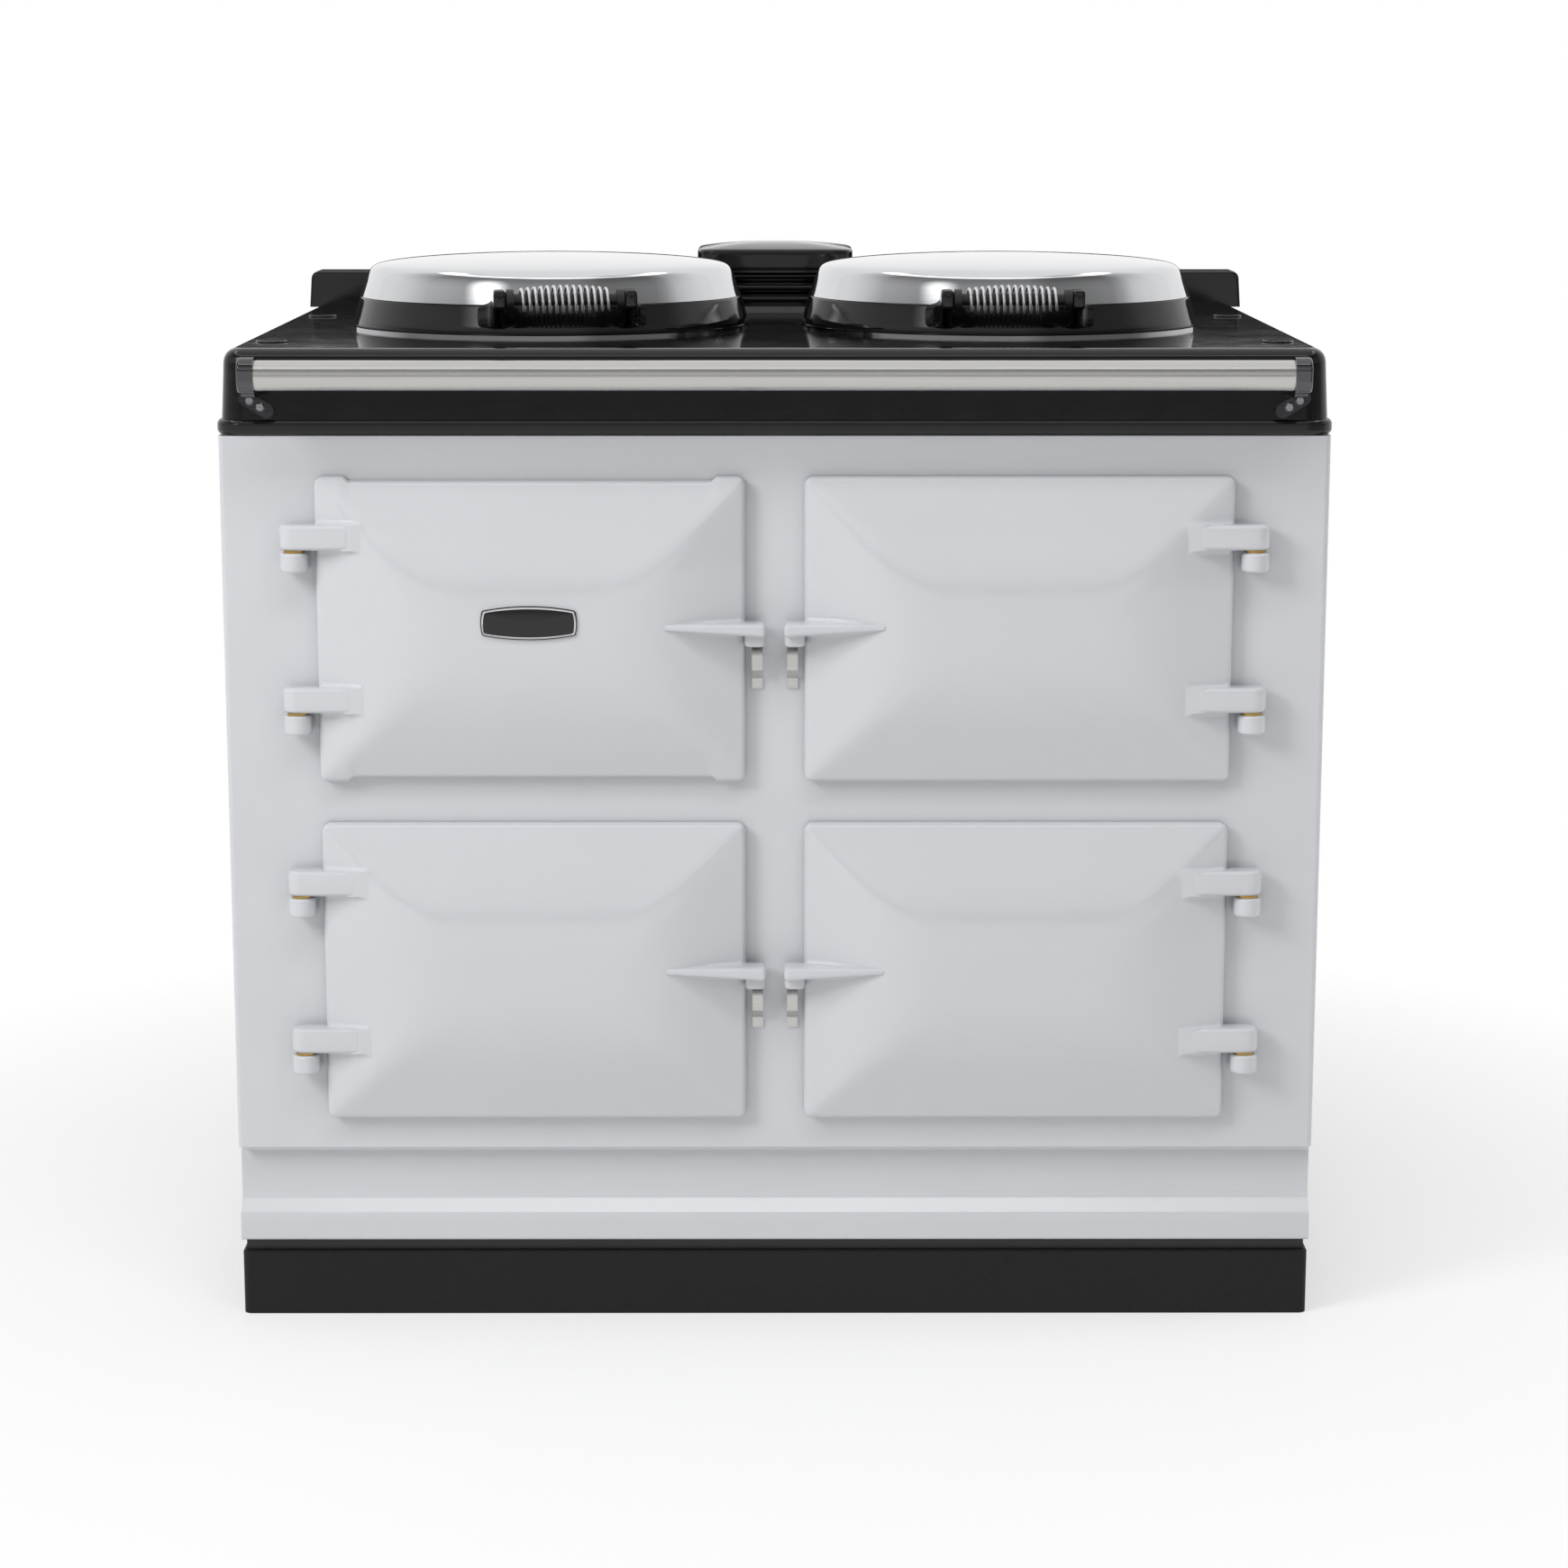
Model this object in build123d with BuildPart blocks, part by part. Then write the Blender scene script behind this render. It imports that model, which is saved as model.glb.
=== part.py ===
"""Range cooker with two round hob lids, four cast doors and a hand rail.

Millimetres. +X is to the cook's right, -Y is the front, +Z is up. The origin is on the floor, in the
middle of the width and of the whole depth, rail included.
"""
from build123d import *
import math
import os

# Overall size
lip_width = 987
body_depth = 698
rail_reach = 61

# Heights of the body's layers, from the floor up
plinth_height = 60
tray_height = 11
skirt_height = 85
front_height = 653
fascia_height = 76

# Fits shared by many pieces
seat_gap = 0.3
running_fit = 0.06
sheet = 3
hair = 0.01

# Plinth, feet and base tray
plinth_width = 979
plinth_setback = 3
plinth_wall = 8
plinth_flange = 42
plinth_corner = 7
plinth_edge_radius = 2.5
tray_width = 972
tray_setback = 9
foot_radius = 22
foot_pad_height = 9
foot_stem_radius = 8
foot_inset = 92

# Skirt moulding
skirt_width = 979
skirt_depth = 30
skirt_recess = 14
skirt_bead_height = 24
skirt_cove_height = 17
skirt_cove_radius = 14
skirt_bead_radius = 8
skirt_foot_radius = 3

# Front plate
front_width = 981
front_thickness = 12
front_flange = 10
front_edge_radius = 5
front_chamfer = 4
mouth_corner = 14

# Doors
door_width = 380
door_height = 273
door_inner_x = 26
upper_door_z = 637.5
lower_door_z = 326.5
door_gap = 1.5
door_edge = 10
door_rise = 28
door_corner = 8
door_rim_radius = 4
hip_width = 84
ridge_corner = 18
ridge_radius = 100
door_core_inset = 40
door_core_hip = 48
door_core_depth = 26
notch_inset = 28
notch_depth = 4

# Door hinges, of the lift-off kind
hinge_offset = 18
hinge_reach = 13.5
hinge_radius = 12.5
hinge_lug_edge_radius = 4
hinge_lug_height = 22.5
hinge_lug_reach = 46
upper_hinge_rise = 84
lower_hinge_drop = 61
knuckle_height = 17
knuckle_neck = 18
knuckle_edge_radius = 2.5
washer_thickness = 2.3
washer_gap = 0.3
washer_radius = 9
door_pin_radius = 5
door_pin_rise = 15
door_pin_root = 14
pin_end_gap = 1

# Door handles and catches
handle_end_x = 8
handle_tip_x = 97
handle_rise = 9.3
handle_depth = 13.4
handle_tip_height = 8
handle_edge_radius = 3.5
handle_front = 36
handle_back = 6
latch_drop = 13
latch_width = 19
latch_front = 26
latch_back = 4
latch_corner = 4
catch_x = 15.6
catch_width = 9.5
catch_sheet = 2
catch_top_drop = 15.5
catch_bottom_drop = 53
catch_reach = 13
catch_bend = 4
catch_slope = 3
catch_foot = 9

# Openings, door liners and seals
mouth_margin = 25
liner_clearance = 4
liner_depth = 18
liner_sheet = 2
liner_corner = 10
seal_inset = 13
seal_side_gap = 0.3
seal_width = 9
seal_groove = 3
seal_proud = 1.2

# Ovens and the control compartment
oven_depth = 470
oven_sheet = 3
oven_flange = 12
runner_count = 4
runner_width = 9
runner_height = 3
runner_pitch = 42
first_runner_rise = 36
runner_setback = 34
shelf_rod = 5
shelf_bar = 4
shelf_bar_count = 15
shelf_margin = 4
shelf_setback = 40
compartment_depth = 96
compartment_room = 22
oven_element_margin = 24
oven_element_height = 8

# Control knobs and lamp
knob_radius = 24
knob_skirt_height = 5
knob_grip_length = 40
knob_grip_width = 12
knob_grip_height = 18
knob_draft = 3
knob_mark_width = 2
knob_mark_depth = 1.2
knob_mark_length = 12
knob_standoff = 0.4
spindle_radius = 4
spindle_length = 17
knob_pitch = 86
knob_drop = 22
lamp_radius = 7
lamp_stem_radius = 5
lamp_stem_length = 10
lamp_rise = 56
lamp_height = 4

# Body shell behind the front plate
side_inset = 2
side_flange = 20
back_sheet = 3
back_recess = 24
slot_length = 70
slot_width = 6
slot_rows = 9
slot_pitch = 16
slot_column_x = 300
slot_bottom_z = 560
gland_x = 360
gland_z = 190
gland_nut_radius = 15
gland_nut_height = 7
gland_cap_radius = 12
gland_cap_length = 13
gland_cap_taper = 8
gland_thread_radius = 10
gland_bore = 7
gland_tail = 14
insulation_gap = 4

# Top plate
fascia_inset = 3.5
fascia_draft = 3
lip_overhang = 3
lip_height = 14
lip_radius = 5
fascia_corner = 22
top_edge_radius = 13
top_thickness = 12
top_wall = 16
disc_radius = 14.2
disc_sink = 3
disc_dome = 1.6
disc_edge_radius = 1.4
disc_x = 453.5
front_disc_depth = 93.5
rear_disc_depth = 470

# Rear upstand and flue
upstand_width = 972
upstand_lean = 2.5
upstand_depth = 44
upstand_height = 37
upstand_corner = 8
upstand_setback = 628
upstand_wall = 6
upstand_edge_radius = 3
flue_width = 124
flue_depth = 95
flue_height = 43
flue_wall = 6
flue_rib_count = 3
flue_rib_height = 7
flue_rib_gap = 4.5
flue_rib_reach = 4
flue_first_rib = 8
flue_slot_margin = 10
flue_foot_height = 6
flue_foot_reach = 6
flue_foot_draft = 30
flue_slot_height = 3
flue_cap_width = 158
flue_cap_depth = 128
flue_cap_edge = 15
flue_cap_rise = 12
flue_cap_corner = 16
flue_cap_inset = 26
flue_cap_overhang = 12

# Hotplates
lid_x = 215
lid_depth = 324
hotplate_radius = 168
hotplate_thickness = 28
hotplate_proud = 3.5
hotplate_chamfer = 1.5
hob_rim_radius = 191.5
hob_rim_height = 2.5
hob_neck_wall = 3.4
hob_ledge = 8
hob_ledge_height = 4
hob_element_radius = 150
hob_element_height = 14

# Hob lids
lid_radius = 190
lid_seam_radius = 182.5
lid_seam_height = 30
lid_base_wall = 11
lid_ledge = 5
lid_ledge_height = 6
dome_side_height = 22
dome_side_lean = 8
dome_height = 39.5
dome_crown_radius = 162
dome_crown_drop = 9
dome_shoulder = 3.2
dome_sheet = 2
lid_liner_lift = 7
lid_liner_sheet = 2.5
left_grip_turn = 6.7
right_grip_turn = 0

# Spring grip on each lid
grip_reach = 222
grip_height = 37.3
grip_boss_inner = 53.4
grip_boss_width = 11.6
grip_boss_height = 17.4
grip_boss_corner = 4
grip_boss_length = 18
grip_arm_root_reach = 164
grip_arm_root_offset = 70
grip_arm_root_width = 44
grip_arm_root_height = 24
grip_rod_radius = 5.5
grip_stub_radius = 3.5
grip_stub_length = 8
collar_radius = 9.5
collar_length = 6.9
coil_wire = 2.5
coil_end_radius = 8.6
coil_mid_radius = 12.1
coil_turns = 14
coil_run_in = 2.5
coil_bend = 3.2
arcs_per_turn = 4
coil_samples = 900
coil_sample_skip = 20

# Lid hinges
lid_hinge_back = 16
lid_hinge_height = 15
lid_lug_width = 40
lid_lug_radius = 9
lid_lug_thickness = 11
lid_pin_radius = 4
hinge_ear_width = 9
hinge_ear_gap = 0.4
hinge_base_depth = 20
hinge_base_setback = -9
hinge_base_height = 4
hinge_ear_radius = 9
lid_pin_head_radius = 6
lid_pin_head_height = 2.5

# Rail and its brackets
rail_radius = 13.2
rail_wall = 2
rail_half = 455
rail_inset = 1
rail_rise = 56.5
bracket_inner_x = 449.5
bracket_width = 14.5
bracket_block_height = 31
bracket_block_depth = 31
bracket_block_corner = 11
bracket_block_lift = 2
bracket_edge_radius = 2.4
bracket_arm_rise = 41
bracket_arm_gap = 2
bracket_arm_height = 10
bracket_arm_bend = 13
bracket_foot_length = 34
bracket_foot_width = 13
bracket_foot_sheet = 5
bracket_arm_inset = 1.5
bracket_foot_tilt = 32
bracket_foot_x = 455.5
bracket_foot_rise = 27.5
screw_radius = 2.5
screw_head_radius = 4.2
screw_head_height = 2.2
screw_head_draft = 25
screw_length = 14
outer_screw_offset = 6.5
inner_screw_offset = 4.3

# Blank plaque on the upper left door
plaque_width = 82
plaque_height = 30
plaque_thickness = 3
plaque_rise = 11
plaque_bow = 4
plaque_end_bow = 1.5
plaque_edge = 1

# Places worked out from the sizes above
front_y = rail_reach - (body_depth + rail_reach) / 2
back_y = front_y + body_depth
body_middle_y = (front_y + back_y) / 2
tray_z = plinth_height
skirt_z = tray_z + tray_height
front_z = skirt_z + skirt_height
lip_z = front_z + front_height
top_z = lip_z + fascia_height
door_x = door_inner_x + door_width / 2
hinge_x = door_inner_x + door_width + hinge_offset
hinge_y = front_y - hinge_reach
mouth_width = door_width - 2 * mouth_margin
mouth_height = door_height - 2 * mouth_margin
side_x = front_width / 2 - side_inset
shell_y = front_y + skirt_depth
lid_y = front_y + lid_depth
lid_base_z = top_z + hob_rim_height + seat_gap
lid_hinge_y = lid_y + lid_radius + lid_hinge_back
lid_hinge_z = top_z + lid_hinge_height
hob_hole_radius = hotplate_radius + seat_gap
hob_neck_radius = hob_hole_radius + hob_neck_wall
hotplate_z = top_z + hotplate_proud - hotplate_thickness
hob_element_z = hotplate_z - hob_element_height
upstand_y = front_y + upstand_setback
flue_y = upstand_y - flue_depth / 2
rail_y = front_y - rail_reach + rail_inset + rail_radius
rail_z = lip_z + rail_rise
back_panel_y = back_y - back_recess
panel_y = front_y + front_thickness + compartment_depth
knob_z = upper_door_z - knob_drop

os.makedirs("parts", exist_ok=True)


def front_plane(ahead):
    """Upright plane that faces the cook, a distance ahead of the front plate's face."""
    return Plane.XZ.offset(ahead - front_y)


def rear_plane(behind):
    """Upright plane that faces the cook, a distance behind the back panel's outer face."""
    return Plane.XZ.offset(-back_panel_y - behind)


def panel_plane(ahead):
    """Upright plane that faces the cook, a distance ahead of the control panel's face."""
    return Plane.XZ.offset(ahead - panel_y)


def level(height):
    """Level plane at a height above the floor."""
    return Plane.XY.offset(height)


def fascia_plane(rise, ahead=0):
    """Plane on the drafted front of the top plate, a rise above the lip's underside."""
    draft = math.radians(fascia_draft)
    face_y = front_y - lip_overhang + fascia_inset + rise * math.tan(draft)
    outward = Vector(0, -math.cos(draft), math.sin(draft))
    return Plane(Vector(0, face_y, lip_z + rise) + outward * ahead, x_dir=(1, 0, 0), z_dir=outward)


def lid_plane(side):
    """Level plane on the top plate at a lid's centre, turned so that its grip lies along local -Y."""
    turn = math.radians(left_grip_turn if side < 0 else right_grip_turn)
    return Plane((side * lid_x, lid_y, top_z), x_dir=(math.cos(turn), math.sin(turn), 0))


def grip_plane(side, reach):
    """Upright plane across the grip's direction, a distance in front of the lid's centre."""
    lid = lid_plane(side)
    return Plane(lid.from_local_coords((0, -reach, 0)), x_dir=lid.x_dir, z_dir=-lid.y_dir)


def lid_section(side):
    """Upright plane through a lid's axis, its origin on the top plate."""
    return Plane((side * lid_x, lid_y, top_z), x_dir=(1, 0, 0), z_dir=(0, -1, 0))


def lid_axis(side):
    """Upright axis through a lid's centre."""
    return Axis((side * lid_x, lid_y, top_z), (0, 0, 1))


def save(piece, name):
    """Label a finished piece and write it to its own file."""
    piece.part.label = name
    export_step(piece.part, f"parts/{name}.step")


def door_places():
    """Name, side and middle height of the four doors."""
    return [
        ("control", -1, upper_door_z),
        ("roasting", 1, upper_door_z),
        ("simmering", -1, lower_door_z),
        ("baking", 1, lower_door_z),
    ]


def lug_floors(middle_z):
    """Heights of the undersides of a door's two hinge lugs."""
    half = hinge_lug_height / 2
    return [middle_z + upper_hinge_rise - half, middle_z - lower_hinge_drop - half]


def hinge_places():
    """Side and lug underside of all eight door hinges."""
    return [(side, floor) for name, side, middle_z in door_places() for floor in lug_floors(middle_z)]


def disc_places():
    """Centres of the four cover discs on the top plate."""
    depths = (front_disc_depth, rear_disc_depth)
    return [(side * disc_x, front_y + depth) for side in (-1, 1) for depth in depths]


def knob_places():
    """Name and X of the three knobs, centred behind the upper left door."""
    return [("boiling", -door_x - knob_pitch), ("simmering", -door_x), ("ovens", -door_x + knob_pitch)]


def foot_screw_places(side):
    """Places of a bracket foot's two screws, in the fascia plane, along the tilted foot."""
    tilt = math.radians(bracket_foot_tilt)
    return [
        (side * (bracket_foot_x + along * math.cos(tilt)), along * math.sin(tilt))
        for along in (-inner_screw_offset, outer_screw_offset)
    ]


# Plinth: a hollow frame with a flange that carries the body
with BuildPart() as plinth:
    plinth_depth = body_depth - 2 * plinth_setback
    with BuildSketch():
        with Locations((0, body_middle_y)):
            RectangleRounded(plinth_width, plinth_depth, plinth_corner)
    extrude(amount=plinth_height)
    fillet(plinth.faces().sort_by(Axis.Z)[-1].edges(), plinth_edge_radius)
    with BuildSketch():
        with Locations((0, body_middle_y)):
            Rectangle(plinth_width - 2 * plinth_wall, plinth_depth - 2 * plinth_wall)
    extrude(amount=plinth_height - sheet, mode=Mode.SUBTRACT)
    with BuildSketch(level(plinth_height - sheet)):
        with Locations((0, body_middle_y)):
            Rectangle(plinth_width - 2 * plinth_flange, plinth_depth - 2 * plinth_flange)
    extrude(amount=sheet, mode=Mode.SUBTRACT)
save(plinth, "plinth")

# Base tray: a shallow upturned pan that makes the dark recess over the plinth
with BuildPart() as base_tray:
    tray_depth = body_depth - 2 * tray_setback
    with BuildSketch(level(tray_z)):
        with Locations((0, body_middle_y)):
            Rectangle(tray_width, tray_depth)
    extrude(amount=tray_height)
    with BuildSketch(level(tray_z)):
        with Locations((0, body_middle_y)):
            Rectangle(tray_width - 2 * sheet, tray_depth - 2 * sheet)
    extrude(amount=tray_height - sheet, mode=Mode.SUBTRACT)
save(base_tray, "base_tray")

# Levelling feet: four screwed pads under the tray, inside the plinth
with BuildPart() as levelling_feet:
    foot_pitch_x = plinth_width - 2 * foot_inset
    foot_pitch_y = body_depth - 2 * foot_inset
    with BuildSketch():
        with Locations((0, body_middle_y)):
            with GridLocations(foot_pitch_x, foot_pitch_y, 2, 2):
                Circle(foot_radius)
    extrude(amount=foot_pad_height)
    with BuildSketch(level(foot_pad_height)):
        with Locations((0, body_middle_y)):
            with GridLocations(foot_pitch_x, foot_pitch_y, 2, 2):
                Circle(foot_stem_radius)
    extrude(amount=skirt_z - sheet - foot_pad_height)
save(levelling_feet, "levelling_feet")

# Skirt: a cove under the front plate that rolls forward into a bead
with BuildPart() as skirt:
    with BuildSketch(Plane.YZ.offset(-skirt_width / 2)):
        with BuildLine():
            bead_top_z = skirt_z + skirt_bead_height
            cove_top_z = bead_top_z + skirt_cove_height
            FilletPolyline(
                (front_y + skirt_recess, front_z),
                (front_y + skirt_depth, front_z),
                (front_y + skirt_depth, skirt_z),
                (front_y, skirt_z),
                (front_y, bead_top_z),
                (front_y + skirt_recess, cove_top_z),
                radius=[0, 0, 0, skirt_foot_radius, skirt_bead_radius, skirt_cove_radius],
                close=True,
            )
        make_face()
    extrude(amount=skirt_width)
save(skirt, "skirt")

# Front plate: a cast pan with four mouths, its rim turned back to meet the sides
with BuildPart() as front_plate:
    front_middle_z = front_z + front_height / 2
    with BuildSketch(front_plane(-skirt_depth)):
        with Locations((0, front_middle_z)):
            Rectangle(front_width, front_height)
    extrude(amount=skirt_depth)
    fillet(front_plate.faces().sort_by(Axis.Y)[0].edges().filter_by(Axis.Z), front_edge_radius)
    lowest_edge = front_plate.faces().sort_by(Axis.Y)[0].edges().sort_by(Axis.Z)[0]
    chamfer(lowest_edge, front_chamfer)
    with BuildSketch(front_plane(-skirt_depth)):
        with Locations((0, front_middle_z)):
            Rectangle(front_width - 2 * front_flange, front_height - 2 * front_flange)
    extrude(amount=skirt_depth - front_thickness, mode=Mode.SUBTRACT)
    with BuildSketch(front_plane(-front_thickness)):
        for name, side, middle_z in door_places():
            with Locations((side * door_x, middle_z)):
                RectangleRounded(mouth_width, mouth_height, mouth_corner)
    extrude(amount=front_thickness, mode=Mode.SUBTRACT)
save(front_plate, "front_plate")

# Side panels: folded sheet from the base tray up to the top plate
for name, side in (("side_panel_left", -1), ("side_panel_right", 1)):
    with BuildPart() as side_panel:
        with BuildSketch(level(skirt_z)):
            with BuildLine():
                Polyline(
                    (side * (side_x - side_flange), shell_y),
                    (side * side_x, shell_y),
                    (side * side_x, back_y),
                    (side * (side_x - side_flange), back_y),
                    (side * (side_x - side_flange), back_y - sheet),
                    (side * (side_x - sheet), back_y - sheet),
                    (side * (side_x - sheet), shell_y + sheet),
                    (side * (side_x - side_flange), shell_y + sheet),
                    close=True,
                )
            make_face()
        extrude(amount=lip_z - skirt_z)
    save(side_panel, name)

# Back panel: sheet with two columns of vent slots and the hole for the cable gland
with BuildPart() as back_panel:
    with BuildSketch(rear_plane(0)):
        with Locations((0, (skirt_z + lip_z) / 2)):
            Rectangle(2 * (side_x - sheet), lip_z - skirt_z)
        slot_middle_z = slot_bottom_z + (slot_rows - 1) * slot_pitch / 2
        with Locations((0, slot_middle_z)):
            with GridLocations(2 * slot_column_x, slot_pitch, 2, slot_rows):
                SlotOverall(slot_length, slot_width, mode=Mode.SUBTRACT)
        with Locations((gland_x, gland_z)):
            Circle(gland_thread_radius, mode=Mode.SUBTRACT)
    extrude(amount=back_sheet)
save(back_panel, "back_panel")

# Cable gland: a hexagon and a tapered cap outside the back panel, a threaded neck through it
with BuildPart() as cable_gland:
    with BuildSketch(rear_plane(0)):
        with Locations((gland_x, gland_z)):
            RegularPolygon(gland_nut_radius, 6)
    extrude(amount=-gland_nut_height)
    with BuildSketch(rear_plane(gland_nut_height)):
        with Locations((gland_x, gland_z)):
            Circle(gland_cap_radius)
    extrude(amount=-gland_cap_length, taper=gland_cap_taper)
    with BuildSketch(rear_plane(0)):
        with Locations((gland_x, gland_z)):
            Circle(gland_thread_radius)
    extrude(amount=gland_tail)
    with BuildSketch(rear_plane(gland_nut_height + gland_cap_length)):
        with Locations((gland_x, gland_z)):
            Circle(gland_bore)
    extrude(amount=gland_nut_height + gland_cap_length + gland_tail, mode=Mode.SUBTRACT)
save(cable_gland, "cable_gland")

# Top plate: a hollow casting with drafted sides, a rolled lip and two hotplate holes
with BuildPart() as top_plate:
    lip_depth = body_depth + lip_overhang
    lip_middle_y = (front_y - lip_overhang + back_y) / 2
    with BuildSketch(level(lip_z)):
        with Locations((0, lip_middle_y)):
            RectangleRounded(lip_width, lip_depth, fascia_corner + fascia_inset)
    extrude(amount=lip_height)
    fillet(top_plate.edges().filter_by(Plane.XY), lip_radius)
    with BuildSketch(level(lip_z)):
        with Locations((0, lip_middle_y)):
            RectangleRounded(lip_width - 2 * fascia_inset, lip_depth - 2 * fascia_inset, fascia_corner)
    extrude(amount=fascia_height, taper=fascia_draft)
    fillet(top_plate.faces().sort_by(Axis.Z)[-1].edges(), top_edge_radius)
    with BuildSketch(level(lip_z)):
        with Locations((0, lip_middle_y)):
            RectangleRounded(lip_width - 2 * top_wall, lip_depth - 2 * top_wall, fascia_corner / 2)
    extrude(amount=fascia_height - top_thickness, mode=Mode.SUBTRACT)
    with BuildSketch(level(top_z - top_thickness)):
        with Locations((-lid_x, lid_y), (lid_x, lid_y)):
            Circle(hob_neck_radius + seat_gap)
    extrude(amount=top_thickness, mode=Mode.SUBTRACT)
    with BuildSketch(level(top_z - disc_sink)):
        with Locations(*disc_places()):
            Circle(disc_radius + seat_gap / 2)
    extrude(amount=disc_sink, mode=Mode.SUBTRACT)
    for side in (-1, 1):
        with BuildSketch(fascia_plane(bracket_foot_rise)):
            with Locations(*foot_screw_places(side)):
                Circle(screw_radius + seat_gap / 2)
        extrude(amount=-screw_length, mode=Mode.SUBTRACT)
save(top_plate, "top_plate")

# Cover discs: four slightly domed blanks let into the top plate
with BuildPart() as cover_discs:
    with BuildSketch(level(top_z - disc_sink)):
        with Locations(*disc_places()):
            Circle(disc_radius)
    extrude(amount=disc_sink + disc_dome)
    fillet(cover_discs.edges().filter_by_position(Axis.Z, top_z, top_z + disc_dome), disc_edge_radius)
save(cover_discs, "cover_discs")

# Rear upstand: a hollow strip along the back of the top plate, its top corners rounded
with BuildPart() as rear_upstand:
    with BuildSketch(Plane.XZ.offset(-upstand_y - upstand_depth)):
        with BuildLine():
            half = upstand_width / 2
            upstand_top_z = top_z + upstand_height
            FilletPolyline(
                (-half, top_z),
                (half, top_z),
                (half - upstand_lean, upstand_top_z),
                (-half + upstand_lean, upstand_top_z),
                radius=[0, 0, upstand_corner, upstand_corner],
                close=True,
            )
        make_face()
    extrude(amount=upstand_depth)
    fillet(rear_upstand.faces().sort_by(Axis.Z)[-1].edges().filter_by(Axis.X), upstand_edge_radius)
    with BuildSketch(level(top_z)):
        with Locations((0, upstand_y + upstand_depth / 2)):
            Rectangle(upstand_width - 2 * upstand_wall, upstand_depth - 2 * upstand_wall)
    extrude(amount=upstand_height - upstand_wall, mode=Mode.SUBTRACT)
save(rear_upstand, "rear_upstand")

# Flue box: a short hollow tower in front of the upstand, its face ribbed and slotted
with BuildPart() as flue_box:
    flue_front_y = flue_y - flue_depth / 2
    with BuildSketch(level(top_z)):
        with Locations((0, flue_y)):
            Rectangle(flue_width, flue_depth)
    extrude(amount=flue_height)
    with BuildSketch(level(top_z)):
        with Locations((0, flue_y - flue_foot_reach / 2)):
            Rectangle(flue_width + 2 * flue_foot_reach, flue_depth + flue_foot_reach)
    extrude(amount=flue_foot_height, taper=flue_foot_draft)
    rib_pitch = flue_rib_height + flue_rib_gap
    rib_heights = [top_z + flue_first_rib + (n + 0.5) * rib_pitch for n in range(flue_rib_count)]
    with BuildSketch(Plane.YZ.offset(-flue_width / 2)):
        with Locations(*[(flue_front_y, height) for height in rib_heights]):
            Ellipse(flue_rib_reach, flue_rib_height / 2)
    extrude(amount=flue_width)
    with BuildSketch(level(top_z)):
        with Locations((0, flue_y)):
            Rectangle(flue_width - 2 * flue_wall, flue_depth - 2 * flue_wall)
    extrude(amount=flue_height, mode=Mode.SUBTRACT)
    with BuildSketch(Plane.XZ.offset(-flue_front_y - flue_wall - 1)):
        with Locations(*[(0, height + rib_pitch / 2) for height in rib_heights[:-1]]):
            Rectangle(flue_width - 2 * flue_slot_margin, flue_slot_height)
    extrude(amount=flue_wall + flue_rib_reach + 2, mode=Mode.SUBTRACT)
save(flue_box, "flue_box")

# Flue cap: a rounded slab with a low dome, on the flue box
with BuildPart() as flue_cap:
    cap_z = top_z + flue_height
    cap_y = flue_front_y - flue_cap_overhang + flue_cap_depth / 2
    with BuildSketch(level(cap_z)):
        with Locations((0, cap_y)):
            RectangleRounded(flue_cap_width, flue_cap_depth, flue_cap_corner)
    extrude(amount=flue_cap_edge)
    with BuildSketch(level(cap_z + flue_cap_edge)):
        with Locations((0, cap_y)):
            RectangleRounded(flue_cap_width, flue_cap_depth, flue_cap_corner)
    with BuildSketch(level(cap_z + flue_cap_edge + flue_cap_rise)):
        with Locations((0, cap_y)):
            RectangleRounded(
                flue_cap_width - 2 * flue_cap_inset,
                flue_cap_depth - 2 * flue_cap_inset,
                flue_cap_corner,
            )
    loft()
save(flue_cap, "flue_cap")

# Hob rims: a thin polished collar on the top plate with a neck and a ledge under each hotplate
with BuildPart() as hob_rims:
    with BuildSketch(level(top_z)):
        with Locations((-lid_x, lid_y), (lid_x, lid_y)):
            Circle(hob_rim_radius)
            Circle(hob_hole_radius, mode=Mode.SUBTRACT)
    extrude(amount=hob_rim_height)
    neck_floor = hotplate_z - hob_ledge_height
    with BuildSketch(level(neck_floor)):
        with Locations((-lid_x, lid_y), (lid_x, lid_y)):
            Circle(hob_neck_radius)
            Circle(hob_hole_radius, mode=Mode.SUBTRACT)
    extrude(amount=top_z - neck_floor)
    with BuildSketch(level(neck_floor)):
        with Locations((-lid_x, lid_y), (lid_x, lid_y)):
            Circle(hob_neck_radius)
            Circle(hob_hole_radius - hob_ledge, mode=Mode.SUBTRACT)
    extrude(amount=hob_ledge_height)
save(hob_rims, "hob_rims")

# Hotplates: two heavy machined discs, one hotter than the other
for name, side in (("boiling_plate", -1), ("simmering_plate", 1)):
    with BuildPart() as hotplate:
        with BuildSketch(level(hotplate_z)):
            with Locations((side * lid_x, lid_y)):
                Circle(hotplate_radius)
        extrude(amount=hotplate_thickness)
        chamfer(hotplate.edges().sort_by(Axis.Z)[-1], hotplate_chamfer)
    save(hotplate, name)

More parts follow.
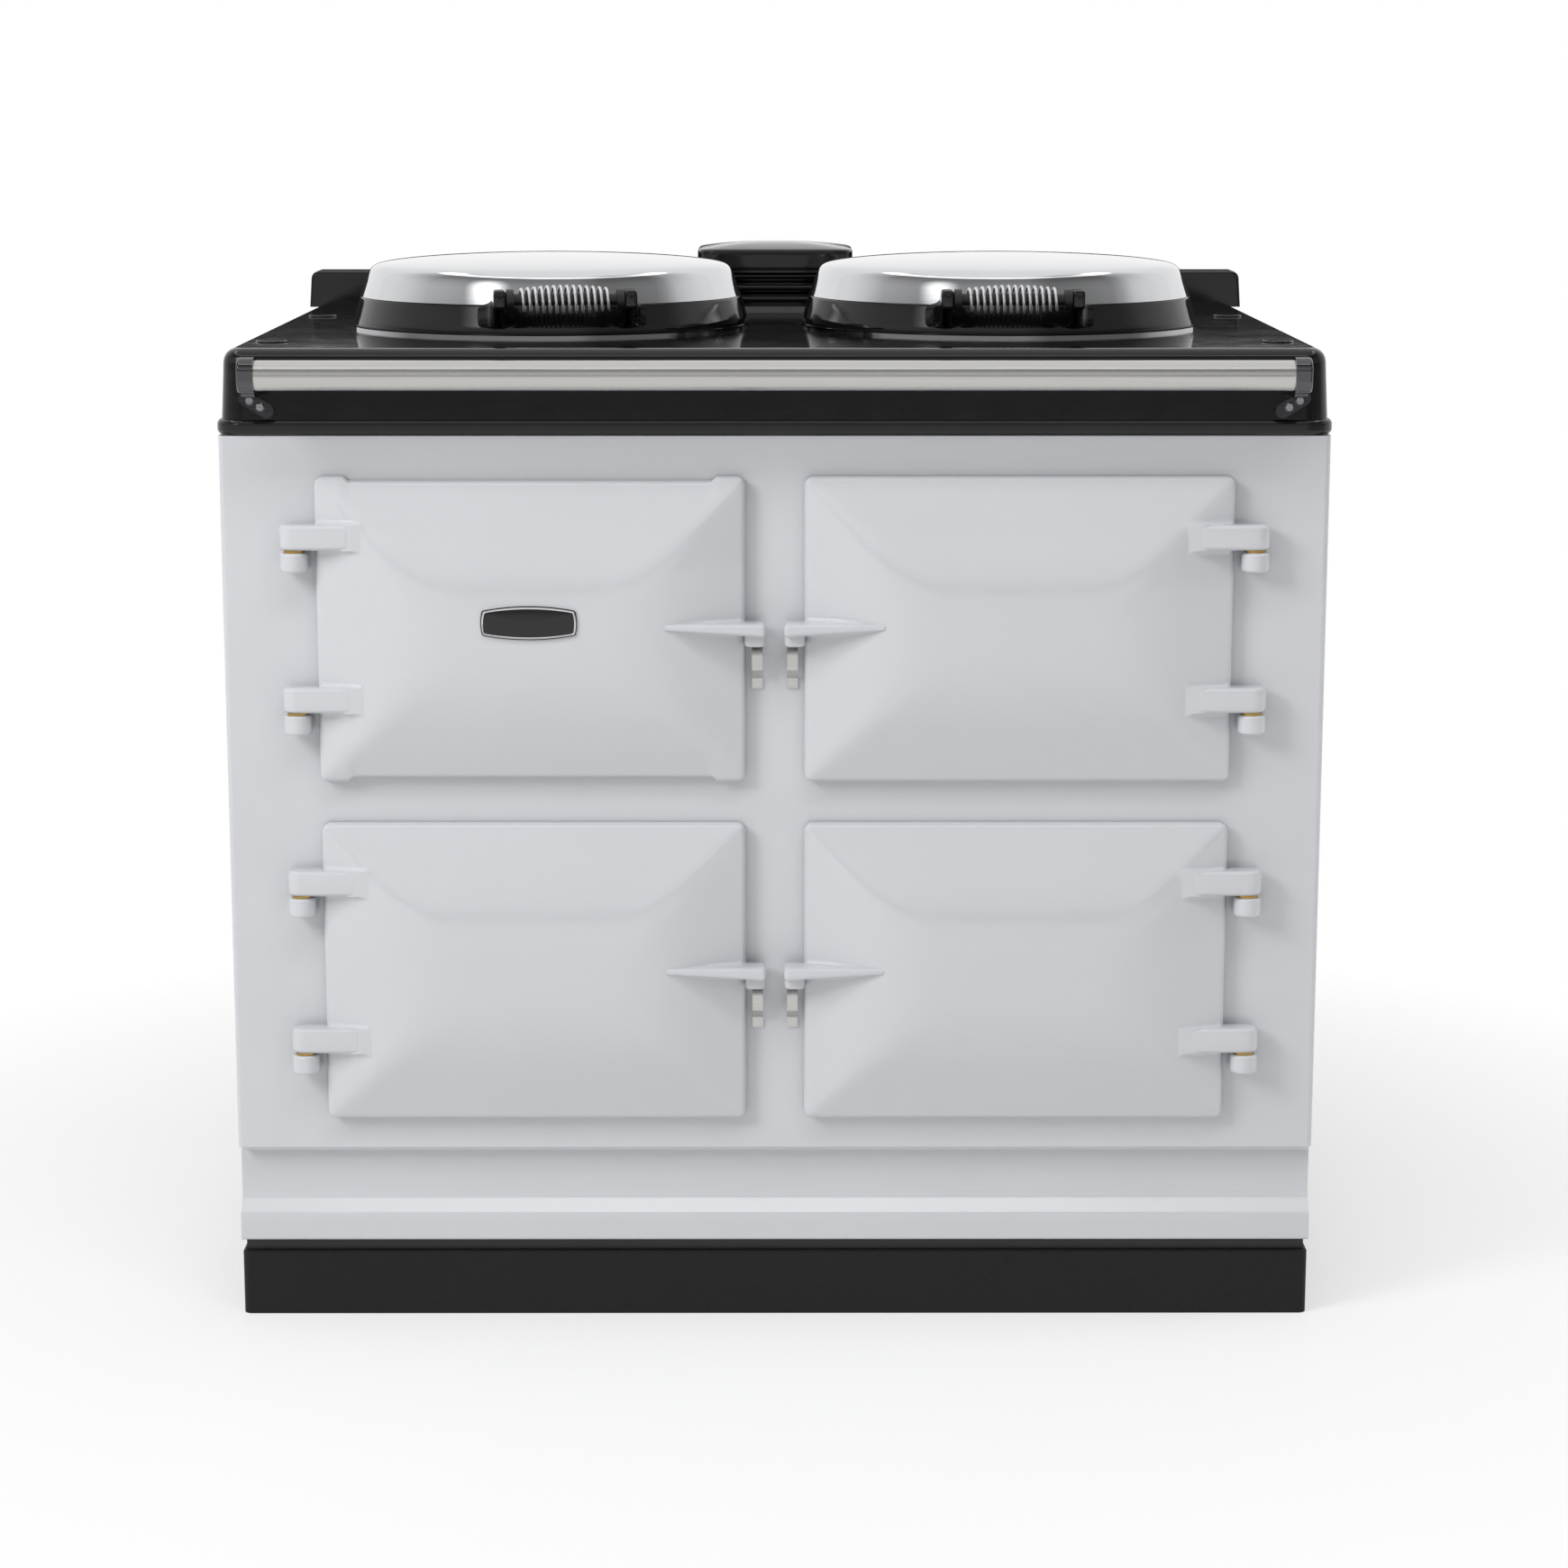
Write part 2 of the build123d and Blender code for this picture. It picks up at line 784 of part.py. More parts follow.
# Lid rings: the drafted black ring, its two grip arms and bosses, and the hinge lug at its back
for name, side in (("lid_left_ring", -1), ("lid_right_ring", 1)):
    base_lift = lid_base_z - top_z
    with BuildPart() as lid_ring:
        with BuildSketch(lid_section(side)):
            with BuildLine():
                Polyline((0, base_lift), (lid_radius, base_lift), (lid_seam_radius, lid_seam_height))
                Polyline((lid_seam_radius, lid_seam_height), (0, lid_seam_height), (0, base_lift))
            make_face()
        revolve(axis=lid_axis(side))
        for hand in (-1, 1):
            boss_middle = grip_boss_inner + grip_boss_width / 2
            boss_back = grip_reach - grip_boss_length / 2
            with BuildSketch(grip_plane(side, grip_arm_root_reach)):
                with Locations((hand * grip_arm_root_offset, base_lift + grip_arm_root_height / 2)):
                    RectangleRounded(grip_arm_root_width, grip_arm_root_height, grip_boss_corner)
            with BuildSketch(grip_plane(side, boss_back)):
                with Locations((hand * boss_middle, grip_height)):
                    RectangleRounded(grip_boss_width, grip_boss_height, grip_boss_corner)
            loft()
            with BuildSketch(grip_plane(side, boss_back)):
                with Locations((hand * boss_middle, grip_height)):
                    RectangleRounded(grip_boss_width, grip_boss_height, grip_boss_corner)
            extrude(amount=grip_boss_length)
        with BuildSketch(Plane.YZ.offset(side * lid_x - lid_lug_width / 2)):
            with Locations((lid_hinge_y, lid_hinge_z)):
                Circle(lid_lug_radius)
            with Locations((lid_hinge_y - lid_hinge_back, lid_hinge_z)):
                Rectangle(2 * lid_hinge_back, lid_lug_thickness)
        extrude(amount=lid_lug_width)
        with BuildSketch(lid_section(side)):
            with BuildLine():
                inner_radius = lid_radius - lid_base_wall
                ledge_radius = inner_radius - lid_ledge
                ledge_z = lid_seam_height - lid_ledge_height
                Polyline(
                    (0, 0),
                    (inner_radius, 0),
                    (inner_radius, ledge_z),
                    (ledge_radius, ledge_z),
                    (ledge_radius, lid_seam_height),
                    (lid_seam_radius + seat_gap, lid_seam_height),
                    (lid_seam_radius + seat_gap, lid_seam_height + dome_height),
                    (0, lid_seam_height + dome_height),
                    close=True,
                )
            make_face()
        revolve(axis=lid_axis(side), mode=Mode.SUBTRACT)
        with BuildSketch(Plane.YZ.offset(side * lid_x - lid_lug_width / 2)):
            with Locations((lid_hinge_y, lid_hinge_z)):
                Circle(lid_pin_radius + running_fit)
        extrude(amount=lid_lug_width, mode=Mode.SUBTRACT)
        for hand in (-1, 1):
            across = Plane(
                lid_plane(side).from_local_coords((hand * grip_boss_inner, -grip_reach, grip_height)),
                z_dir=lid_plane(side).x_dir * hand,
            )
            with BuildSketch(across):
                Circle(grip_stub_radius)
            extrude(amount=grip_stub_length, mode=Mode.SUBTRACT)
    save(lid_ring, name)

# Lid domes: polished sheet with a leaning side, a tight shoulder and a shallow crown
for name, side in (("lid_left_dome", -1), ("lid_right_dome", 1)):
    with BuildPart() as lid_dome:
        for inset, mode in ((0, Mode.ADD), (dome_sheet, Mode.SUBTRACT)):
            with BuildSketch(lid_section(side)):
                with BuildLine():
                    seam_point = (lid_seam_radius - inset, lid_seam_height)
                    side_end = (lid_seam_radius - dome_side_lean - inset, lid_seam_height + dome_side_height)
                    crown_height = lid_seam_height + dome_height - inset
                    crown_start = (dome_crown_radius, crown_height - dome_crown_drop)
                    shoulder_x = (side_end[0] + crown_start[0]) / 2 + dome_shoulder
                    shoulder_z = (side_end[1] + crown_start[1]) / 2 + dome_shoulder / 2
                    crown_arc_radius = (dome_crown_radius**2 + dome_crown_drop**2) / (2 * dome_crown_drop)
                    Polyline((0, lid_seam_height), seam_point, side_end)
                    ThreePointArc(side_end, (shoulder_x, shoulder_z), crown_start)
                    RadiusArc(crown_start, (0, crown_height), -crown_arc_radius)
                    Line((0, crown_height), (0, lid_seam_height))
                make_face()
            revolve(axis=lid_axis(side), mode=mode)
    save(lid_dome, name)

# Lid liners: shallow inner pans whose rims stand under the rings' ledges
for name, side in (("lid_left_liner", -1), ("lid_right_liner", 1)):
    with BuildPart() as lid_liner:
        liner_radius = lid_radius - lid_base_wall - seat_gap
        liner_z = top_z + lid_liner_lift
        rim_height = lid_seam_height - lid_ledge_height - lid_liner_lift
        with BuildSketch(level(liner_z)):
            with Locations((side * lid_x, lid_y)):
                Circle(liner_radius)
        extrude(amount=rim_height)
        with BuildSketch(level(liner_z + lid_liner_sheet)):
            with Locations((side * lid_x, lid_y)):
                Circle(liner_radius - lid_liner_sheet)
        extrude(amount=rim_height - lid_liner_sheet, mode=Mode.SUBTRACT)
    save(lid_liner, name)


def grip_point(side, along, radius, turn):
    """Point near a lid's grip: a distance along its axis, a radius from it and a turn about it."""
    return lid_plane(side).from_local_coords(
        (along, -grip_reach + radius * math.cos(turn), grip_height + radius * math.sin(turn))
    )


def grip_cross(side, along, facing):
    """Plane square to a lid's grip axis, facing left or right."""
    return Plane(grip_point(side, along, 0, 0), z_dir=lid_plane(side).x_dir * facing)


def coil_radius(along):
    """Radius of the coil's centre line, widest at the middle of the grip."""
    share = along / (grip_boss_inner - collar_length)
    return coil_mid_radius - (coil_mid_radius - coil_end_radius) * share**2


def coil_nodes(side):
    """Points and directions along the coil: a straight run and a bend at each end, turns between."""
    lid_x_way = lid_plane(side).x_dir
    face = grip_boss_inner - collar_length
    start = face - coil_run_in
    first = start - coil_bend
    bend_turn = coil_bend / coil_end_radius
    steps = coil_turns * arcs_per_turn
    step_turn = (2 * math.pi * coil_turns - 2 * bend_turn) / steps
    nodes = [(grip_point(side, -along, coil_end_radius, 0), lid_x_way) for along in (face, start)]
    for step in range(steps + 1):
        along = first * (2 * step / steps - 1)
        turn = bend_turn + step * step_turn
        point = grip_point(side, along, coil_radius(along), turn)
        nudge = 0.001
        ahead_along = along + 2 * first / steps / step_turn * nudge
        ahead = grip_point(side, ahead_along, coil_radius(ahead_along), turn + nudge)
        nodes.append((point, (ahead - point).normalized()))
    nodes += [(grip_point(side, along, coil_end_radius, 0), lid_x_way) for along in (start, face)]
    return nodes


def biarc(start, start_way, end, end_way):
    """Two arcs, as triples of points, that leave and arrive in given directions."""
    chord = end - start
    ways = start_way + end_way
    spread = 2 * (1 - start_way.dot(end_way))
    lean = chord.dot(ways)
    reach = (math.sqrt(lean**2 + spread * chord.dot(chord)) - lean) / spread
    middle = (start + end + (start_way - end_way) * reach) * 0.5
    return [
        (start, arc_middle(start, start + start_way * reach, middle), middle),
        (middle, arc_middle(middle, end - end_way * reach, end), end),
    ]


def arc_middle(first, corner, last):
    """Middle of the arc that touches two equal legs of a corner at their ends."""
    leg = (corner - first).length
    weight = (last - first).length / 2 / leg
    return (first + corner * (2 * weight) + last) / (2 * (1 + weight))


def least_gap(points, wire, apart):
    """Least space between stretches of a wire whose points lie more than a number of steps apart."""
    nearest = min(
        (points[i] - points[j]).length
        for i in range(len(points))
        for j in range(i + apart, len(points))
    )
    return nearest - wire


# Spring grips: one unbroken barrel-shaped coil on each lid
for name, side in (("lid_left_coil", -1), ("lid_right_coil", 1)):
    with BuildPart() as lid_coil:
        nodes = coil_nodes(side)
        with BuildLine() as coil_path:
            Line(nodes[0][0], nodes[1][0])
            for here, there in zip(nodes[1:-2], nodes[2:-1]):
                for arc in biarc(*here, *there):
                    ThreePointArc(*arc)
            Line(nodes[-2][0], nodes[-1][0])
        with BuildSketch(Plane(nodes[0][0], z_dir=nodes[0][1])):
            Circle(coil_wire / 2)
        sweep(path=coil_path.wires()[0])
    coil_points = coil_path.wires()[0].positions([n / coil_samples for n in range(coil_samples + 1)])
    print(name, "least gap", round(least_gap(coil_points, coil_wire, coil_sample_skip), 2), "mm")
    save(lid_coil, name)

# Grip cores: a dark rod inside each coil, with a collar and a stub at each end
for name, side in (("lid_left_core", -1), ("lid_right_core", 1)):
    with BuildPart() as lid_core:
        for hand in (-1, 1):
            with BuildSketch(grip_cross(side, 0, hand)):
                Circle(grip_rod_radius)
            extrude(amount=grip_boss_inner - collar_length)
            with BuildSketch(grip_cross(side, hand * (grip_boss_inner - collar_length), hand)):
                Circle(collar_radius)
            extrude(amount=collar_length - seat_gap)
            with BuildSketch(grip_cross(side, hand * (grip_boss_inner - seat_gap), hand)):
                Circle(grip_stub_radius - seat_gap / 2)
            extrude(amount=grip_stub_length)
    save(lid_core, name)

# Lid hinge bases: a foot plate and two ears behind each lid
with BuildPart() as lid_hinge_bases:
    ear_middle = lid_lug_width / 2 + hinge_ear_gap + hinge_ear_width / 2
    base_width = 2 * (ear_middle + hinge_ear_width / 2)
    for side in (-1, 1):
        with BuildSketch(level(top_z)):
            with Locations((side * lid_x, lid_hinge_y + hinge_base_setback + hinge_base_depth / 2)):
                Rectangle(base_width, hinge_base_depth)
        extrude(amount=hinge_base_height)
        for hand in (-1, 1):
            ear_start = side * lid_x + hand * ear_middle - hinge_ear_width / 2
            with BuildSketch(Plane.YZ.offset(ear_start)):
                with Locations((lid_hinge_y, lid_hinge_z)):
                    Circle(hinge_ear_radius)
                with Locations((lid_hinge_y, top_z + lid_hinge_height / 2)):
                    Rectangle(2 * hinge_ear_radius, lid_hinge_height)
            extrude(amount=hinge_ear_width)
            with BuildSketch(Plane.YZ.offset(ear_start)):
                with Locations((lid_hinge_y, lid_hinge_z)):
                    Circle(lid_pin_radius + running_fit)
            extrude(amount=hinge_ear_width, mode=Mode.SUBTRACT)
save(lid_hinge_bases, "lid_hinge_bases")

# Lid hinge pins: a headed pin through the ears and the lug of each lid
with BuildPart() as lid_hinge_pins:
    pin_reach = ear_middle + hinge_ear_width / 2
    for side in (-1, 1):
        with BuildSketch(Plane.YZ.offset(side * lid_x - pin_reach)):
            with Locations((lid_hinge_y, lid_hinge_z)):
                Circle(lid_pin_radius)
        extrude(amount=2 * pin_reach)
        for hand in (-1, 1):
            with BuildSketch(Plane.YZ.offset(side * lid_x + hand * pin_reach)):
                with Locations((lid_hinge_y, lid_hinge_z)):
                    Circle(lid_pin_head_radius)
            extrude(amount=hand * lid_pin_head_height)
save(lid_hinge_pins, "lid_hinge_pins")


def door_outline(inset, corner):
    """Door-shaped rectangle, smaller all round by an inset, drawn at the current place."""
    RectangleRounded(door_width - 2 * inset, door_height - 2 * inset, corner)


def post_corners(radius, height):
    """Corners of half the profile of a round post that stands on the sketch's X axis."""
    return [(0, 0), (radius, 0), (radius, height), (0, height)]


def hinge_plane(side, floor_z):
    """Upright plane through a door's hinge axis, its origin at a height on the axis."""
    return Plane((side * hinge_x, hinge_y, floor_z), x_dir=(-side, 0, 0), z_dir=(0, side, 0))


def hinge_axis(side):
    """Upright axis that the doors of one side turn about."""
    return Axis((side * hinge_x, hinge_y, 0), (0, 0, 1))


# Hinge lugs: a bar with a rounded eye for the doors of each side, its hinge axis at the origin
hinge_lugs = {}
for side in (-1, 1):
    with BuildPart() as hinge_lug:
        with BuildSketch(Plane.YZ):
            with Locations((0, hinge_lug_height / 2)):
                RectangleRounded(2 * hinge_radius, hinge_lug_height, hinge_lug_edge_radius)
        extrude(amount=-side * (hinge_offset + hinge_lug_reach))
        with BuildSketch(Plane.YZ):
            with BuildLine():
                corners = post_corners(-hinge_radius, hinge_lug_height)
                rounding = [0, hinge_lug_edge_radius, hinge_lug_edge_radius, 0]
                FilletPolyline(*corners, radius=rounding, close=True)
            make_face()
        revolve(axis=Axis.Z, revolution_arc=side * 180)
        split(bisect_by=Plane.XZ.offset(door_gap - hinge_reach))
    hinge_lugs[side] = hinge_lug.part

# Doors: castings with hipped borders, two hinge lugs, a handle fin and a latch boss
for name, side, middle_z in door_places():
    door_place = (side * door_x, middle_z)
    with BuildPart() as door:
        with BuildSketch(front_plane(door_gap)):
            with Locations(door_place):
                door_outline(0, door_corner)
        extrude(amount=door_edge)
        with BuildSketch(front_plane(door_gap + door_edge)):
            with Locations(door_place):
                door_outline(0, door_corner)
        with BuildSketch(front_plane(door_gap + door_edge + door_rise)):
            with Locations(door_place):
                door_outline(hip_width, ridge_corner)
        loft(ruled=True)
        rim_y = front_y - door_gap - door_edge
        fillet(door.edges().filter_by_position(Axis.Y, rim_y - hair, rim_y + hair), door_rim_radius)
        fillet(door.faces().sort_by(Axis.Y)[0].edges(), ridge_radius)
        if name == "control":
            with BuildSketch(front_plane(door_gap)):
                with Locations(door_place):
                    with GridLocations(0, door_height, 1, 2):
                        Rectangle(door_width - 2 * notch_inset, 2 * notch_depth)
            extrude(amount=door_edge + door_rise, mode=Mode.SUBTRACT)
        for floor_z in lug_floors(middle_z):
            with Locations((side * hinge_x, hinge_y, floor_z)):
                add(hinge_lugs[side])
            with BuildSketch(level(floor_z)):
                with Locations((side * hinge_x, hinge_y)):
                    Circle(door_pin_radius + running_fit)
            extrude(amount=door_pin_rise + pin_end_gap, mode=Mode.SUBTRACT)
        handle_y = front_y - (handle_front + handle_back) / 2
        for reach_x, height in ((handle_end_x, handle_depth), (handle_tip_x, handle_tip_height)):
            with BuildSketch(Plane.YZ.offset(side * reach_x)):
                with Locations((handle_y, middle_z + handle_rise - height / 2)):
                    RectangleRounded(handle_front - handle_back, height, handle_edge_radius)
        loft()
        with BuildSketch(front_plane(latch_back)):
            with Locations((side * (handle_end_x + latch_width / 2), middle_z - latch_drop / 2)):
                RectangleRounded(latch_width, latch_drop, latch_corner)
        extrude(amount=latch_front - latch_back)
        with BuildSketch(front_plane(door_gap)):
            with Locations(door_place):
                door_outline(door_core_inset, door_corner)
        with BuildSketch(front_plane(door_gap + door_core_depth)):
            with Locations(door_place):
                door_outline(door_core_inset + door_core_hip, ridge_corner)
        loft(ruled=True, mode=Mode.SUBTRACT)
        if name != "control":
            with BuildSketch(front_plane(door_gap)):
                with Locations(door_place):
                    door_outline(seal_inset, door_corner)
                    RectangleRounded(
                        door_width - 2 * (seal_inset + seal_width),
                        door_height - 2 * (seal_inset + seal_width),
                        door_corner / 2,
                        mode=Mode.SUBTRACT,
                    )
            extrude(amount=seal_groove, mode=Mode.SUBTRACT)
    save(door, f"door_{name}")

# Door liners: pressed pans that fill the mouths behind the doors
for name, side, middle_z in door_places():
    with BuildPart() as liner:
        liner_width = mouth_width - 2 * liner_clearance
        liner_height = mouth_height - 2 * liner_clearance
        with BuildSketch(front_plane(door_gap)):
            with Locations((side * door_x, middle_z)):
                RectangleRounded(liner_width, liner_height, liner_corner)
        extrude(amount=-door_gap - liner_depth)
        with BuildSketch(front_plane(door_gap)):
            with Locations((side * door_x, middle_z)):
                RectangleRounded(
                    liner_width - 2 * liner_sheet,
                    liner_height - 2 * liner_sheet,
                    liner_corner - liner_sheet,
                )
        extrude(amount=-door_gap - liner_depth + liner_sheet, mode=Mode.SUBTRACT)
    save(liner, f"liner_{name}")

# Door seals: a rope ring in the groove at the back of each oven door
for name, side, middle_z in door_places()[1:]:
    with BuildPart() as seal:
        with BuildSketch(front_plane(door_gap + seal_groove)):
            with Locations((side * door_x, middle_z)):
                door_outline(seal_inset + seal_side_gap, door_corner)
                RectangleRounded(
                    door_width - 2 * (seal_inset + seal_width - seal_side_gap),
                    door_height - 2 * (seal_inset + seal_width - seal_side_gap),
                    door_corner / 2,
                    mode=Mode.SUBTRACT,
                )
        extrude(amount=-seal_groove - seal_proud)
    save(seal, f"seal_{name}")

# Hinge knuckles: round posts on the front plate, below the doors' lugs
with BuildPart() as hinge_knuckles:
    for side, floor_z in hinge_places():
        knuckle_top_z = floor_z - washer_gap - washer_thickness
        with BuildSketch(hinge_plane(side, knuckle_top_z - knuckle_height)):
            with BuildLine():
                corners = post_corners(hinge_radius, knuckle_height)
                rounding = [0, knuckle_edge_radius, knuckle_edge_radius, 0]
                FilletPolyline(*corners, radius=rounding, close=True)
            make_face()
        revolve(axis=hinge_axis(side))
        with BuildSketch(front_plane(0)):
            with Locations((side * hinge_x, knuckle_top_z - knuckle_height / 2)):
                RectangleRounded(knuckle_neck, knuckle_height, knuckle_edge_radius)
        extrude(amount=hinge_reach)
        with BuildSketch(level(knuckle_top_z)):
            with Locations((side * hinge_x, hinge_y)):
                Circle(door_pin_radius)
        extrude(amount=-door_pin_root, mode=Mode.SUBTRACT)
save(hinge_knuckles, "hinge_knuckles")

# Hinge pins: steel pins that stand in the knuckles and carry the doors
with BuildPart() as hinge_pins:
    for side, floor_z in hinge_places():
        with BuildSketch(level(floor_z - washer_gap - washer_thickness - door_pin_root)):
            with Locations((side * hinge_x, hinge_y)):
                Circle(door_pin_radius)
        extrude(amount=door_pin_root + washer_thickness + washer_gap + door_pin_rise)
save(hinge_pins, "hinge_pins")

# Hinge washers: one on each knuckle, under the door's lug
with BuildPart() as hinge_washers:
    for side, floor_z in hinge_places():
        with BuildSketch(level(floor_z - washer_gap - washer_thickness)):
            with Locations((side * hinge_x, hinge_y)):
                Circle(washer_radius)
                Circle(door_pin_radius + seat_gap, mode=Mode.SUBTRACT)
        extrude(amount=washer_thickness)
save(hinge_washers, "hinge_washers")

# Door catches: bent strips on the front plate, below the doors' latch bosses
with BuildPart() as door_catches:
    for name, side, middle_z in door_places():
        catch_top_z = middle_z - catch_top_drop
        catch_bottom_z = middle_z - catch_bottom_drop
        with BuildSketch(Plane.YZ.offset(side * catch_x - catch_width / 2)):
            with BuildLine() as catch_line:
                FilletPolyline(
                    (front_y - catch_sheet / 2, catch_top_z),
                    (front_y - catch_reach + catch_sheet / 2, catch_top_z - catch_slope),
                    (front_y - catch_reach + catch_sheet / 2, (catch_top_z + catch_bottom_z) / 2),
                    (front_y - catch_sheet / 2, catch_bottom_z + catch_foot),
                    (front_y - catch_sheet / 2, catch_bottom_z),
                    radius=catch_bend,
                )
            trace(catch_line.line, catch_sheet)
        extrude(amount=catch_width)
save(door_catches, "door_catches")

# Control panel: a sheet steel box behind the upper left mouth, its back drilled for the spindles
with BuildPart() as control_panel:
    box_width = mouth_width + 2 * compartment_room
    box_height = mouth_height + 2 * compartment_room
    with BuildSketch(front_plane(-front_thickness)):
        with Locations((-door_x, upper_door_z)):
            Rectangle(box_width, box_height)
    extrude(amount=-compartment_depth - sheet)
    with BuildSketch(front_plane(-front_thickness)):
        with Locations((-door_x, upper_door_z)):
            Rectangle(box_width - 2 * sheet, box_height - 2 * sheet)
    extrude(amount=-compartment_depth, mode=Mode.SUBTRACT)
    with BuildSketch(panel_plane(0)):
        for knob_name, knob_x in knob_places():
            with Locations((knob_x, knob_z)):
                Circle(spindle_radius + running_fit)
        with Locations((-door_x, upper_door_z + lamp_rise)):
            Circle(lamp_stem_radius + seat_gap / 2)
    extrude(amount=-sheet, mode=Mode.SUBTRACT)
save(control_panel, "control_panel")

# Control knobs: a round skirt, a grip bar with a pointer groove, and a spindle through the panel
for knob_name, knob_x in knob_places():
    with BuildPart() as knob:
        with BuildSketch(panel_plane(knob_standoff)):
            with Locations((knob_x, knob_z)):
                Circle(knob_radius)
        extrude(amount=knob_skirt_height)
        chamfer(knob.faces().sort_by(Axis.Y)[0].edges(), knob_mark_depth)
        with BuildSketch(panel_plane(knob_standoff + knob_skirt_height)):
            with Locations((knob_x, knob_z)):
                SlotOverall(knob_grip_length, knob_grip_width, rotation=90)
        extrude(amount=knob_grip_height, taper=knob_draft)
        with BuildSketch(panel_plane(knob_standoff + knob_skirt_height + knob_grip_height)):
            with Locations((knob_x, knob_z + (knob_grip_length - knob_mark_length) / 2 - knob_mark_width)):
                Rectangle(knob_mark_width, knob_mark_length)
        extrude(amount=-knob_mark_depth, mode=Mode.SUBTRACT)
        with BuildSketch(panel_plane(knob_standoff)):
            with Locations((knob_x, knob_z)):
                Circle(spindle_radius)
        extrude(amount=-spindle_length)
    save(knob, f"knob_{knob_name}")

# Control lamp: a small lens above the knobs, its stem through the panel
with BuildPart() as control_lamp:
    with BuildSketch(panel_plane(0)):
        with Locations((-door_x, upper_door_z + lamp_rise)):
            Circle(lamp_radius)
    extrude(amount=lamp_height)
    fillet(control_lamp.faces().sort_by(Axis.Y)[0].edges(), lamp_height / 2)
    with BuildSketch(panel_plane(0)):
        with Locations((-door_x, upper_door_z + lamp_rise)):
            Circle(lamp_stem_radius)
    extrude(amount=-lamp_stem_length)
save(control_lamp, "control_lamp")

# Plaque: a plain barrel-shaped plate on the upper left door
with BuildPart() as badge_plate:
    plaque_y = front_y - door_gap - door_edge - door_rise
    plaque_centre = (-door_x, plaque_y, upper_door_z + plaque_rise)
    with BuildSketch(Plane(plaque_centre, x_dir=(1, 0, 0), z_dir=(0, -1, 0))):
        with BuildLine():
            end_rise = plaque_height / 2 - plaque_bow
            half = plaque_width / 2
            ThreePointArc((-half, end_rise), (0, plaque_height / 2), (half, end_rise))
            ThreePointArc((half, end_rise), (half + plaque_end_bow, 0), (half, -end_rise))
            ThreePointArc((half, -end_rise), (0, -plaque_height / 2), (-half, -end_rise))
            ThreePointArc((-half, -end_rise), (-half - plaque_end_bow, 0), (-half, end_rise))
        make_face()
    extrude(amount=plaque_thickness)
    chamfer(badge_plate.faces().sort_by(Axis.Y)[0].edges(), plaque_edge)
save(badge_plate, "badge_plate")


# Ovens: sheet steel boxes with a front flange and runners on both walls
for name, side, middle_z in door_places()[1:]:
    with BuildPart() as oven:
        with BuildSketch(front_plane(-front_thickness)):
            with Locations((side * door_x, middle_z)):
                Rectangle(mouth_width + 2 * oven_flange, mouth_height + 2 * oven_flange)
        extrude(amount=-oven_sheet)
        with BuildSketch(front_plane(-front_thickness)):
            with Locations((side * door_x, middle_z)):
                RectangleRounded(mouth_width + 2 * oven_sheet, mouth_height + 2 * oven_sheet, mouth_corner)
        extrude(amount=-oven_depth - oven_sheet)
        with BuildSketch(front_plane(-front_thickness)):
            with Locations((side * door_x, middle_z)):
                RectangleRounded(mouth_width, mouth_height, mouth_corner)
        extrude(amount=-oven_depth, mode=Mode.SUBTRACT)
        first_runner_z = middle_z - mouth_height / 2 + first_runner_rise
        runner_middle_z = first_runner_z + (runner_count - 1) * runner_pitch / 2
        with BuildSketch(front_plane(-front_thickness - runner_setback)):
            with Locations((side * door_x, runner_middle_z)):
                with GridLocations(mouth_width - runner_width, runner_pitch, 2, runner_count):
                    Rectangle(runner_width, runner_height)
        extrude(amount=-oven_depth + runner_setback)
    save(oven, f"oven_{name}")

# Oven shelves: a frame and bars, one on the lowest runners but one of each oven
with BuildPart() as oven_shelves:
    for name, side, middle_z in door_places()[1:]:
        shelf_z = middle_z - mouth_height / 2 + first_runner_rise + runner_height / 2
        shelf_width = mouth_width - 2 * shelf_margin
        shelf_depth = oven_depth - shelf_setback - shelf_margin
        shelf_y = front_y + front_thickness + shelf_setback + shelf_depth / 2
        with BuildSketch(level(shelf_z)):
            with Locations((side * door_x, shelf_y)):
                Rectangle(shelf_width, shelf_depth)
                Rectangle(shelf_width - 2 * shelf_rod, shelf_depth - 2 * shelf_rod, mode=Mode.SUBTRACT)
                with GridLocations(shelf_width / (shelf_bar_count + 1), 0, shelf_bar_count, 1):
                    Rectangle(shelf_bar, shelf_depth - shelf_rod)
        extrude(amount=shelf_rod)
save(oven_shelves, "oven_shelves")

# Heating elements: a disc under each hotplate and a plate under each oven
with BuildPart() as heating_elements:
    with BuildSketch(level(hob_element_z)):
        with Locations((-lid_x, lid_y), (lid_x, lid_y)):
            Circle(hob_element_radius)
    extrude(amount=hob_element_height)
    for name, side, middle_z in door_places()[1:]:
        oven_floor_z = middle_z - mouth_height / 2 - oven_sheet
        with BuildSketch(level(oven_floor_z)):
            with Locations((side * door_x, front_y + front_thickness + oven_depth / 2)):
                Rectangle(mouth_width - 2 * oven_element_margin, oven_depth - 2 * oven_element_margin)
        extrude(amount=-oven_element_height)
save(heating_elements, "heating_elements")

